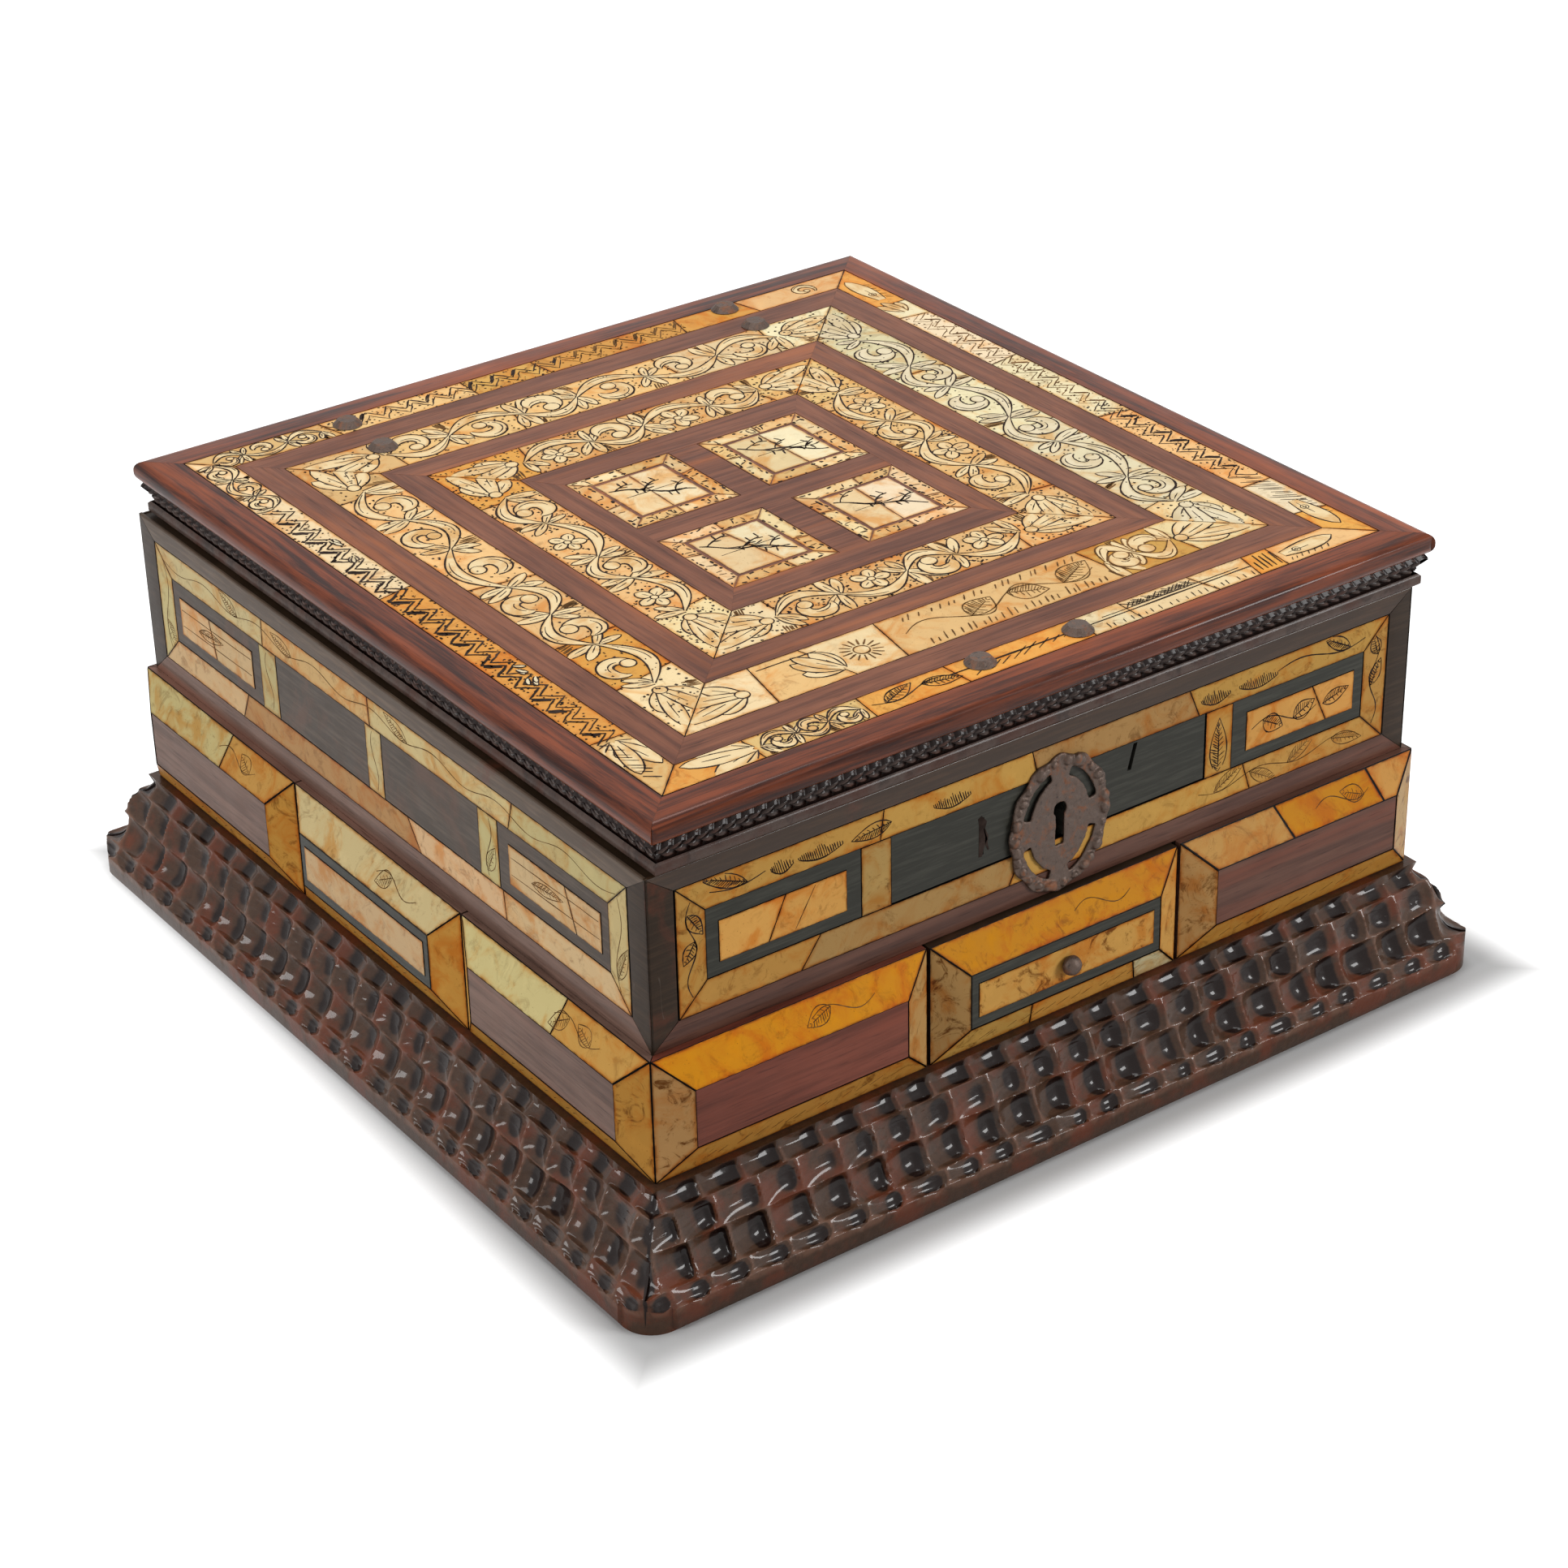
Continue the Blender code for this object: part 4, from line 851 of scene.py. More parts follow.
@dataclass
class Burin:
    """An engraver's tool at work on one strip or tile."""

    engraving: Engraving
    bed: Bed
    half: float
    width: float
    run: Point2 = (0.0, 0.0)
    proud: float = 0.00005
    seed: int = 1
    ink: Ink = Ink.BLACK
    wash: Ink = Ink.CREAM
    margin: float = 0.0003
    layer: float = 0.000003

    def __post_init__(self) -> None:
        """Lay the strip's frame and seed the hand's small moves."""
        self.matrix = self.bed.matrix() @ Matrix.Translation((0.0, 0.0, self.proud))
        self.rng = random.Random(self.seed)
        self.marks: set[tuple[int, int]] = set()
        self.level = 0

    @staticmethod
    def cell(point: Point2) -> tuple[int, int]:
        """Return the square millimetre that a point lies in."""
        return round(point[0] / 0.001), round(point[1] / 0.001)

    def reach(self, point: Point2) -> float:
        """Return how far the strip goes along at a point's height."""
        run = self.run[0] if point[0] < 0 else self.run[1]
        return self.half - run * point[1] / self.width - self.margin

    def clamp(self, point: Point2) -> Point2:
        """Return the nearest place to a point on the strip."""
        y = min(max(point[1], self.margin), self.width - self.margin)
        reach = self.reach((point[0], y))
        return min(max(point[0], -reach), reach), y

    def inside(self, point: Point2) -> bool:
        """Tell whether a point lies on the strip."""
        return self.margin < point[1] < self.width - self.margin and abs(point[0]) < self.reach(point)

    def lay(self, lines: Sequence[Sequence[Point2]], ink: Ink) -> None:
        """Add a band to the engraving, in the layer in work."""
        self.engraving.sheet(self.matrix @ Matrix.Translation((0.0, 0.0, self.layer * self.level)), lines, ink)

    def stroke(self, path: Sequence[Point2], width: float = 0.00046) -> None:
        """Cut a line where it lies on the strip, thickest in its middle and a little uneven."""
        part: list[Point2] = []
        for point in [*path, (math.inf, math.inf)]:
            if self.inside(point):
                part.append(point)
                self.marks.add(self.cell(point))
                continue
            if len(part) > 1:
                step = 0.76 * math.pi / (len(part) - 1)
                halves = [width / 2 * self.rng.uniform(0.65, 1.3) * (0.4 + 0.6 * math.sin(0.38 + step * index))
                          for index in range(len(part))]
                self.lay(flank(part, halves), self.ink)
            part = []

    def line(self, first: Point2, second: Point2, width: float = 0.00042, steps: int = 6) -> None:
        """Cut a straight line with a slightly unsteady hand."""
        path = []
        for index in range(steps + 1):
            wobble = self.rng.uniform(-0.00008, 0.00008)
            x, y = between(first, second, index / steps)
            path.append((x + wobble, y + wobble))
        self.stroke(path, width)

    def arc(self, centre: Point2, radius: float, sweep: float) -> None:
        """Cut an arc that starts at the right of its centre."""
        steps = max(6, round(sweep / 0.3))
        self.stroke([polar(centre, radius, sweep * index / steps) for index in range(steps + 1)])

    def hatch(self, first: Point2, second: Point2, way: float, length: float, count: int,
              width: float = 0.00034) -> None:
        """Cut a row of short parallel lines along a line."""
        for index in range(count):
            spot = between(first, second, (index + self.rng.uniform(0.2, 0.8)) / count)
            self.line(spot, polar(spot, length * self.rng.uniform(0.5, 1.1), way), width, 3)

    def body(self, path: Sequence[Point2], halves: Sequence[float], veins: Sequence[float] = (),
             outline: float = 0.0006) -> None:
        """Lay a pale shape along a path, and cut its edges and veins.

        Args:
            path: middle line of the shape.
            halves: half widths along it.
            veins: places of the veins, from -1 at the left edge to 1 at the right edge.
            outline: width of the cut edges.
        """
        left, right = ([self.clamp(point) for point in side] for side in flank(path, halves))
        self.level += 1
        self.lay((left, [self.clamp(point) for point in path], right), self.wash)
        for near, far in zip(left, right):
            self.marks.update(self.cell(between(near, far, quarter / 4)) for quarter in range(5))
        self.level += 1
        self.stroke(left, outline)
        self.stroke(right, outline)
        for vein in veins:
            line = [between(near, far, 0.5 + vein / 2) for near, far in zip(left, right)]
            skip = self.rng.randint(1, len(line) // 3)
            self.stroke(line[skip:skip + len(line) // 2], outline * 0.7)

    def lobe(self, root: Point2, way: float, length: float, breadth: float, bow: float = 0.0,
             veins: Sequence[float] = (0.1,)) -> None:
        """Lay one bowed, blunt lobe of a leaf or flower."""
        path, halves, spot = [], [], root
        for index in range(11):
            share = index / 10
            path.append(spot)
            halves.append(breadth * max(0.0, math.sin(math.pi * (0.1 + 0.9 * share ** 1.25))) ** 0.6)
            spot = polar(spot, length / 10, way + bow * share)
        self.body(path, halves, veins)

    def disc(self, centre: Point2, radius: float) -> None:
        """Lay a round bud."""
        shares = [math.cos(math.pi * index / 8) for index in range(9)]
        self.body([(centre[0] - radius * share, centre[1]) for share in shares],
                  [radius * math.sqrt(max(0.0, 1.0 - share * share)) for share in shares])

    def volute(self, centre: Point2, radius: float, start: float, sweep: float, thick: float) -> None:
        """Lay one broad scroll that winds inward to a round head.

        Args:
            centre: middle of the scroll.
            radius: its greatest reach.
            start: turn where it starts.
            sweep: turn that it covers, with its hand as sign.
            thick: half width of its band.
        """
        path, halves = [], []
        for index in range(25):
            share = index / 24
            reach = (radius - thick) * (1.0 - share) + 1.1 * thick * share
            path.append(polar(centre, reach, start + sweep * share))
            halves.append(thick * math.sin(math.pi * min(0.5, 0.05 + 1.3 * share)) * (1.0 - 0.3 * share))
        self.body(path, halves, (0.35,), 0.00072)
        self.disc(path[-1], thick * 0.85)

    def flower(self, centre: Point2, radius: float, petals: int = 6) -> None:
        """Lay a flower of round petals about a bud."""
        for index in range(petals):
            turn = 2 * math.pi * (index + self.rng.uniform(-0.12, 0.12)) / petals
            root = polar(centre, radius * 0.12, turn)
            self.lobe(root, turn, radius * 0.9, radius * 0.34, self.rng.uniform(-0.4, 0.4))
        self.disc(centre, radius * 0.2)

    def spray(self, root: Point2, way: float, length: float, spread_by: float = 0.5, count: int = 5) -> None:
        """Lay a leaf: bowed lobes fanned about a way, from the outer ones to the middle one."""
        middle = (count - 1) / 2
        for index in sorted(range(count), key=lambda place: -abs(place - middle)):
            off = index - middle
            reach = length * (1.0 - 0.13 * abs(off)) * self.rng.uniform(0.9, 1.1)
            bow = -0.7 * spread_by * off + self.rng.uniform(-0.4, 0.4)
            self.lobe(root, way + spread_by * off, reach, length * 0.15, bow)

    def scrolls(self, start: float, end: float, cell: float, flowers: bool = False) -> None:
        """Lay a running scroll: swelling crescents, a curl or a flower within each, and leaves about them."""
        rng, width, middle = self.rng, self.width, self.width / 2
        count = max(2, round((end - start) / cell))
        step, up = (end - start) / count, rng.choice((-1.0, 1.0))
        edges = [start + step * (index + (rng.uniform(-0.2, 0.2) if 0 < index < count else 0.0))
                 for index in range(count + 1)]
        for index, (first, last) in enumerate(zip(edges, edges[1:])):
            self.level = 0
            self.bite(first + step * rng.uniform(-0.1, 0.1), -up)
            self.spray((first, middle), -up * rng.uniform(0.9, 1.5), width * rng.uniform(0.46, 0.6), 0.8, 2)
            self.spray((last, middle), math.pi + up * rng.uniform(0.9, 1.5), width * rng.uniform(0.42, 0.56), 0.8, 2)
            centre = ((first + last) / 2 + 0.04 * step, middle - up * width * 0.1)
            radius = min((last - first) * 0.46, width * 0.39)
            sweep = -up * rng.uniform(3.8, 5.0)
            self.level = 22
            arch = [math.sin(math.pi * share / 16) for share in range(17)]
            self.body([(first + (last - first) * share / 16, middle + up * 0.33 * width * rise)
                       for share, rise in enumerate(arch)],
                      [width * (0.014 + 0.088 * rise) for rise in arch], (-0.3 * up,), 0.00066)
            if flowers and index % 2:
                self.flower(centre, width * rng.uniform(0.28, 0.34), 5)
            else:
                self.volute(centre, radius, 0.0, sweep, width * rng.uniform(0.12, 0.15))
            up = -up

    def dots(self, start: float, end: float, count: int, size: float = 0.00042) -> None:
        """Punch small marks where nothing else is cut."""
        for _ in range(count):
            point = (self.rng.uniform(start, end), self.rng.uniform(0.0, self.width))
            reach = size * self.rng.uniform(0.6, 1.7)
            end_point = (point[0] + reach, point[1] + reach * self.rng.uniform(-0.6, 0.6))
            if self.cell(point) in self.marks or not self.inside(point) or not self.inside(end_point):
                continue
            self.lay(flank([point, end_point], [reach * 0.55, reach * 0.35]), self.ink)

    def zigzags(self, start: float, end: float, pitch: float, bold: float = 0.0007) -> None:
        """Cut a doubled zigzag with wedges along it and small marks in its corners."""
        count = max(2, round((end - start) / pitch))
        step = (end - start) / count
        for offset, share in ((-0.14, 0.85), (0.11, 0.65)):
            path = []
            for index in range(8 * count + 1):
                rise = 0.23 - 0.46 * abs(index % 8 - 4) / 4
                path.append((start + step * index / 8 + self.rng.uniform(-0.0002, 0.0002),
                             self.width * (0.5 + offset + rise) + self.rng.uniform(-0.0003, 0.0003)))
            self.stroke(path, bold * share)
            for index in range(0, 8 * count - 4, 8):
                if offset < 0 and self.rng.random() < 0.6:
                    wedge = [(x + bold, y) for x, y in path[index:index + 4]]
                    self.stroke(wedge, bold * self.rng.uniform(1.0, 1.5))
        self.dots(start, end, 20 * count, 0.0005)

    def corner(self, way: float) -> None:
        """Lay a scroll and leaves at the left (-1) or right (1) end of a mitred strip."""
        heading = 0.0 if way > 0 else math.pi
        root = (way * (self.half - 1.2 * self.width), self.width * 0.45)
        self.level = 0
        self.bite(way * (self.half - self.rng.uniform(0.7, 1.1) * self.width), 1.0)
        for turn, length in ((0.95, 0.6), (-0.7, 0.62), (-0.3, 1.05), (0.3, 1.05)):
            reach = self.width * length * self.rng.uniform(0.85, 1.1)
            bow = -way * turn * self.rng.uniform(0.2, 0.9)
            self.lobe(root, heading + way * turn, reach, self.width * 0.13, bow)
        self.disc(root, self.width * 0.1)

    def bite(self, place: float, up: float) -> None:
        """Cut dark hatching at the strip's upper (1) or lower (-1) edge."""
        edge = self.width * (0.5 + 0.47 * up)
        reach = self.width * self.rng.uniform(0.05, 0.12)
        kept, self.ink = self.ink, Ink.BROWN
        self.hatch((place - reach, edge), (place + reach, edge), -up * (math.pi / 2 + self.rng.uniform(-0.4, 0.4)),
                   self.width * self.rng.uniform(0.2, 0.36), 5, 0.00075)
        self.ink = kept

    def leaf(self, root: Point2, way: float, length: float, breadth: float, width: float) -> None:
        """Cut a pointed leaf in outline, with a rib and hatching on one half.

        Args:
            root: where it starts.
            way: turn that it points to.
            length: its length.
            breadth: its half width.
            width: width of its lines.
        """
        def spot(share: float, off: float) -> Point2:
            """Return a place on the leaf."""
            side = off * breadth * math.sin(math.pi * share ** 0.8)
            return (root[0] + length * share * math.cos(way) - side * math.sin(way),
                    root[1] + length * share * math.sin(way) + side * math.cos(way))

        for off in (1.0, -1.0, 0.0):
            self.stroke([spot(step / 8, off) for step in range(9 if off else 7)], width)
        count = max(6, round(length / 0.001))
        for step in range(1, count):
            share = step / count * 0.9
            self.line(spot(share, 0.05), spot(share + 0.08, self.rng.uniform(0.6, 1.0)), width * 0.8, 2)
            if step % 2:
                self.line(spot(share, -0.05), spot(share + 0.06, -self.rng.uniform(0.3, 0.8)), width * 0.7, 2)

    def vine(self, start: float, end: float, cell: float, width: float, leaves: float = 0.5) -> None:
        """Cut one waving stem with leaves by turns above and below it."""
        count = max(1, round((end - start) / cell))
        step = (end - start) / count
        up = self.rng.choice((-1.0, 1.0))
        self.stroke([(start + step * index / 8, self.width * (0.5 + 0.17 * up * math.sin(math.pi * index / 8)))
                     for index in range(8 * count + 1)], width)
        for index in range(count):
            if self.rng.random() < leaves:
                root = (start + step * (index + self.rng.uniform(0.2, 0.4)), self.width * (0.5 + 0.12 * up))
                way, length = -up * self.rng.uniform(0.25, 0.6), step * self.rng.uniform(0.7, 0.95)
                self.leaf(root, way, length, self.width * 0.23, width)
            up = -up

    def comb(self, start: float, end: float) -> None:
        """Cut a bowed rib with close strokes hanging from it, like half of a feathery leaf."""
        def rib(share: float) -> Point2:
            """Return a place on the rib."""
            return start + (end - start) * share, self.width * (0.6 + 0.2 * math.sin(math.pi * share))

        count = round((end - start) / 0.0008)
        for index in range(count + 1):
            x, y = rib(index / count)
            swell = math.sin(math.pi * index / count) * self.rng.uniform(0.6, 1.1)
            reach = self.width * (0.1 + 0.36 * swell)
            self.line((x, y), (x + 0.3 * reach, y - reach), 0.0004, 3)
        self.stroke([rib(step / 10) for step in range(11)], 0.0005)


def spread(half: float, count: int, seed: int, jitter: float = 0.18) -> list[float]:
    """Return the joints of a strip: even steps, moved a little.

    Args:
        half: half length of the strip.
        count: number of tiles.
        seed: seed of the moves.
        jitter: largest move, as a share of a tile.

    Returns:
        Places along the strip.
    """
    rng = random.Random(seed)
    step = 2 * half / count
    return [-half + step * (index + rng.uniform(-jitter, jitter)) for index in range(1, count)]


class Carving(Enum):
    """How the rows of a moulding are carved."""

    SCOOPS = "dished cells between sharp crests"
    BEADS = "round lumps between hollows"


@dataclass
class RippleRow:
    """One carved row of a rippled moulding."""

    start: float
    end: float
    depth: float
    shift: float
    slant: float = 0.0
    open: float = 0.0


@dataclass
class RippleMoulding:
    """A mitred moulding whose rows are carved into waves along its length."""

    name: str
    side: Side
    core: Point2
    outline: Sequence[Point2]
    rows: Sequence[RippleRow]
    pitch: float
    step: float
    groove: float
    line: float
    kind: Carving
    skew: float
    seed: int
    shift: Point2 = (0.0, 0.0)
    corner: float = 0.0
    wander: float = 0.0
    sway: float = 0.12
    # How much painted shade darkens the far wall of each dished cell.
    stain: float = 0.2

    def __post_init__(self) -> None:
        """Choose this side's half length and its distance from the middle."""
        self.half, self.plane = self.core if self.side.across else self.core[::-1]

    def section(self) -> list[Point3]:
        """Return the outline in small steps, as out, height and distance along the outline."""
        points = [Vector(point) for point in (*self.outline, self.outline[0])]
        walked = walk(points)
        places = set(walked)
        for row in self.rows:
            count = max(2, round((row.end - row.start) / self.step))
            places.update(row.start + (row.end - row.start) * index / count for index in range(count + 1))
            places.update((row.start + 0.5 * self.line, row.end - 0.5 * self.line))
        made = []
        for place in sorted(places):
            if made and place - made[-1][2] < 1e-5:
                continue
            leg = next(index for index in range(len(points) - 1) if place <= walked[index + 1] + 1e-9)
            share = (place - walked[leg]) / (walked[leg + 1] - walked[leg])
            made.append((*points[leg].lerp(points[leg + 1], share), place))
        return made

    def carve(self, along: np.ndarray, distance: float) -> tuple[np.ndarray, np.ndarray]:
        """Return how deep the carving is along one line of the section.

        Args:
            along: places along the moulding.
            distance: distance of the line along the section.

        Returns:
            The depth in metres, and a darkness from 0 on a crest to 1 in a hollow, which on the dished cells also holds
            painted shade on the far wall of each cell.
        """
        first, last = self.rows[0].start, self.rows[-1].end
        scoops = self.kind is Carving.SCOOPS
        depth, dark = np.zeros_like(along), np.full_like(along, 0.3 if scoops else 0.0)
        if not first <= distance <= last:
            return depth, dark
        share = (distance - first) / (last - first)
        drift = np.array([noise.noise((place * 60.0, 9.1, self.seed)) for place in along])
        spot = distance + 4.0 * self.wander * share * (1.0 - share) * drift
        for index, row in enumerate(self.rows):
            uneven = np.array([noise.noise((place * 47.0, index * 3.7, self.seed)) for place in along])
            across = (spot - row.start) / (row.end - row.start) * 2.0 - 1.0
            phase = along / self.pitch + row.shift + row.slant * across + self.sway * uneven
            turn = phase - np.floor(phase)
            rise = np.where(turn < self.skew, turn / self.skew, (1.0 - turn) / (1.0 - self.skew))
            nearest = np.minimum(spot - row.start, row.end - spot)
            edge = np.exp(-(nearest / self.line) ** 2)
            if scoops:
                shut = np.where(across * row.open > 0.0, 0.0, np.abs(across))
                dip = (1.0 - (1.0 - rise) ** 2) * (1.0 - np.clip(shut, 0.0, 1.0) ** 3.2)
                if row.open < 0.0:
                    dip = dip * np.clip((spot - row.start) / 0.0013 - 1.5 * (1.0 - rise), 0.0, 1.0)
                # Painted shade: a dark band on the far wall of each dished cell, scaled by the side's stain and
                # strongest on the front.
                stain = np.exp(-((turn - self.skew - 0.05) / 0.2) ** 2) * (0.75 + uneven)
                shade = np.clip(dip * (0.45 + self.stain * np.clip(stain, 0.0, 1.2)), 0.0, 1.0)
            else:
                dip = 1.0 - (1.0 - 0.55 * across ** 2) * np.sin(np.pi * rise / 2) ** 0.7
                shade = dip
            chosen = (spot >= row.start) & (spot <= row.end)
            dip = row.depth * dip * np.clip(1.0 + 0.5 * uneven, 0.5, 1.3)
            depth = np.where(chosen, dip + self.groove * edge, depth)
            dark = np.where(chosen, shade + (0.35 * edge if self.groove else 0.0), dark)
        seam = np.exp(-((along[-1] - np.abs(along)) / 0.0007) ** 2)
        return depth + 0.0004 * seam, np.clip(dark + seam, 0.0, 1.0)

    def build(self) -> Piece:
        """Model the moulding from a fine grid, carved line by line.

        Returns:
            The moulding in its place, closed at its mitres.
        """
        section = self.section()
        count = max(8, round(2 * self.half / self.step))
        Bench.clear()
        bpy.ops.mesh.primitive_grid_add(x_subdivisions=count, y_subdivisions=len(section) - 1, size=1.0)
        piece = Bench.named(self.name)
        share = np.linspace(-1.0, 1.0, count + 1)
        rows, hollows = [], []
        for index, (out, height, distance) in enumerate(section):
            before, after = section[max(index - 1, 0)], section[min(index + 1, len(section) - 1)]
            way = (Vector(after[:2]) - Vector(before[:2])).normalized()
            depth, hollow = self.carve(share * (self.half + out), distance)
            far = out - depth * way.y
            rows.append(np.stack((share * (self.half + far), -(self.plane + far), height + depth * way.x), axis=1))
            hollows.append(hollow)
        points = np.concatenate(rows)
        if self.corner:
            self.round_corner(points)
        piece.data.vertices.foreach_set("co", points.ravel())
        Bench.store(piece, "hollow", "POINT", np.concatenate(hollows).astype(np.float32))
        with Bench.editing(piece, "VERT"):
            bpy.ops.mesh.remove_doubles(threshold=TINY)
            bpy.ops.mesh.fill_holes(sides=0)
            bpy.ops.mesh.select_all(action="SELECT")
            bpy.ops.mesh.normals_make_consistent(inside=False)
        piece.data.transform(Matrix.Translation((*self.shift, 0.0)) @ self.side.turn())
        Bench.smooth(piece, 50.0)
        return piece

    def round_corner(self, points: np.ndarray) -> None:
        """Draw the outer ends in where the moulding's corners are rounded, seen from above."""
        centre = np.array((self.half, self.plane)) + self.outline[1][0] - self.corner
        flat = np.abs(points[:, :2])
        away = flat - centre
        reach = np.hypot(away[:, 0], away[:, 1])
        beyond = (away > 0.0).all(axis=1) & (reach > self.corner)
        drawn = centre + away * (self.corner / np.maximum(reach, 1e-9))[:, None]
        points[:, :2] = np.sign(points[:, :2]) * np.where(beyond[:, None], drawn, flat)


@dataclass
class Studio:
    """The camera at the photograph's viewing angle, the floor and soft light."""

    eye: Point3 = (-0.6394, -0.9141, 0.6846)
    azimuth: float = -35.318
    elevation: float = 29.586
    roll: float = -1.316
    lens: float = 85.62
    sensor: float = 36.0
    reach: float = 8.0
    sky: float = 0.272
    floor_tone: float = 0.4
    floor_glow: float = 0.92
    # The floor's white glow is held back in a ring round this box at the casket's foot, as wide as the fade: a painted
    # contact shadow.
    foot: Point2 = (0.1725, 0.1765)
    centre: Point2 = (0.0005, -0.003)
    fade: float = 0.023

    def camera(self) -> None:
        """Add the camera."""
        azimuth, elevation, roll = (math.radians(turn) for turn in (self.azimuth, self.elevation, self.roll))
        back = Vector((math.sin(azimuth) * math.cos(elevation), -math.cos(azimuth) * math.cos(elevation),
                       math.sin(elevation)))
        right = Vector((math.cos(azimuth), math.sin(azimuth), 0.0))
        up = back.cross(right)
        level, lift = math.cos(roll), math.sin(roll)
        columns = Matrix((right * level + up * lift, up * level - right * lift, back)).transposed().to_4x4()
        data = bpy.data.cameras.new("camera")
        data.lens, data.sensor_width, data.clip_end = self.lens, self.sensor, 50.0
        eye = Bench.hang("camera", data)
        eye.matrix_world = Matrix.Translation(self.eye) @ columns
        bpy.context.scene.camera = eye

    def floor(self) -> None:
        """Add the pale floor, which keeps the shadow, with a painted contact shadow round the casket's foot."""
        piece = Bench.plane("floor", (-self.reach, -self.reach), (self.reach, self.reach))
        with Bench.editing(piece):
            bpy.ops.mesh.subdivide(number_cuts=3)
        material = bpy.data.materials.new("floor")
        sheet = NodeSheet(material)
        x, y, _ = sheet.add("SeparateXYZ", Vector=sheet.place()).outputs
        # Painted contact shadow: the glow that whitens the floor for the eye rises from none at the box round the
        # casket's foot to full a fade's width beyond it, and the ring narrows towards the back.
        beyond = [sheet.math("SUBTRACT", sheet.math("ABSOLUTE", sheet.math("SUBTRACT", part, middle)), half)
                  for part, middle, half in zip((x, y), self.centre, self.foot)]
        taper = sheet.times(sheet.math("ADD", y, self.foot[1]), 0.04)
        reach = sheet.math("MAXIMUM", sheet.math("ADD", beyond[0], taper), beyond[1])
        glow = sheet.times(sheet.ramp(reach, 0.0, self.fade), self.floor_glow)
        sheet.set(Base_Color=(self.floor_tone,) * 3, Roughness=1.0, Specular_IOR_Level=0.0,
                  Emission_Color=(1.0, 1.0, 1.0), Emission_Strength=sheet.times(glow, sheet.seen()))
        piece.data.materials.append(material)

    def world(self) -> None:
        """Light the room evenly, and show white where no floor is."""
        world = bpy.data.worlds.new("room")
        bpy.context.scene.world = world
        sheet = NodeSheet(world, "Background", "OutputWorld")
        strength = sheet.add("MapRange", Value=sheet.seen(), To_Min=self.sky, To_Max=1.0)
        sheet.set(Color=(1.0, 1.0, 1.0), Strength=strength.outputs["Result"])

    def lamp(self, name: str, place: Sequence[float], size: Point2, power: float) -> None:
        """Hang a soft lamp that faces the casket."""
        data = bpy.data.lights.new(name, "AREA")
        data.shape = "RECTANGLE"
        data.size, data.size_y = size
        data.energy = power
        turn = (Vector((0.0, 0.0, 0.08)) - Vector(place)).to_track_quat("-Z", "Y").to_matrix().to_4x4()
        Bench.hang(name, data).matrix_world = Matrix.Translation(place) @ turn

    def build(self) -> None:
        """Set up the whole studio."""
        bpy.context.scene.view_settings.view_transform = "Standard"
        self.camera()
        self.floor()
        self.world()
        self.lamp("overhead", (0.15, 0.25, 1.7), (1.2, 0.9), 23.4)
        self.lamp("front", (1.05, -1.45, 0.78), (0.6, 0.5), 21.0)
        self.lamp("left", (-1.7, -0.1, 0.9), (0.6, 0.7), 18.5)


@dataclass
class Base:
    """The broad rippled foot of the case."""

    half: Point2 = (0.1521, 0.1561)
    projection: float = 0.0204
    fascia: float = 0.0095
    top_edge: float = 0.0032
    height: float = 0.0385
    inset: float = 0.011
    swell: float = 0.0013
    corner: float = 0.011
    pitch: float = 0.0146

    def outline(self) -> list[Point2]:
        """Return the section: foot, rounded fascia, swelling band, top and back."""
        foot = [(-self.inset, 0.0), (self.projection - 0.0012, 0.0), (self.projection, 0.0022),
                (self.projection, self.fascia - 0.001), (self.projection - 0.0009, self.fascia)]
        rise = self.height - self.fascia - 2 * self.top_edge
        band = []
        for index in range(9):
            share = index / 8
            out = self.projection - self.top_edge / 2 + (1.5 * self.top_edge - self.projection) * share
            height = self.fascia + self.top_edge * 0.55 + (rise + self.top_edge * 0.45) * share
            bulge = -self.swell * math.sin(2 * math.pi * share)
            band.append((out + bulge, height + bulge / 2))
        return foot + band + [(self.top_edge, self.height), (-self.inset, self.height)]

    def build(self) -> None:
        """Model and dress the four mouldings."""
        outline = self.outline()
        walked = walk(outline)
        start, end = walked[3] - 0.001, walked[13]
        cuts = [start + (end - start) * share for share in (0.0, 0.2, 0.55, 0.86, 1.0)]
        depths, opens = (0.0017, 0.003, 0.0028, 0.0016), (-1.0, 0.0, 0.0, 1.0)
        rows = [RippleRow(low, high, depth, 0.17 * index, open=free)
                for index, (low, high, depth, free) in enumerate(zip(cuts, cuts[1:], depths, opens))]
        for side in Side:
            front = side is Side.FRONT
            # The front's cells take the strongest painted shade on their far walls.
            moulding = RippleMoulding(
                "rippled_base_" + side.word(), side, self.half, outline, rows, self.pitch, 0.00062, groove=0.0,
                line=0.00045, kind=Carving.SCOOPS, skew=0.7 if front else 0.55, seed=side.value,
                corner=self.corner, wander=0.0013, sway=0.2, stain=1.0 if front else 0.45)
            Bench.hand_over(moulding.build(), (RIPPLE,), "case", "rippled_moulding", "base_" + side.word())


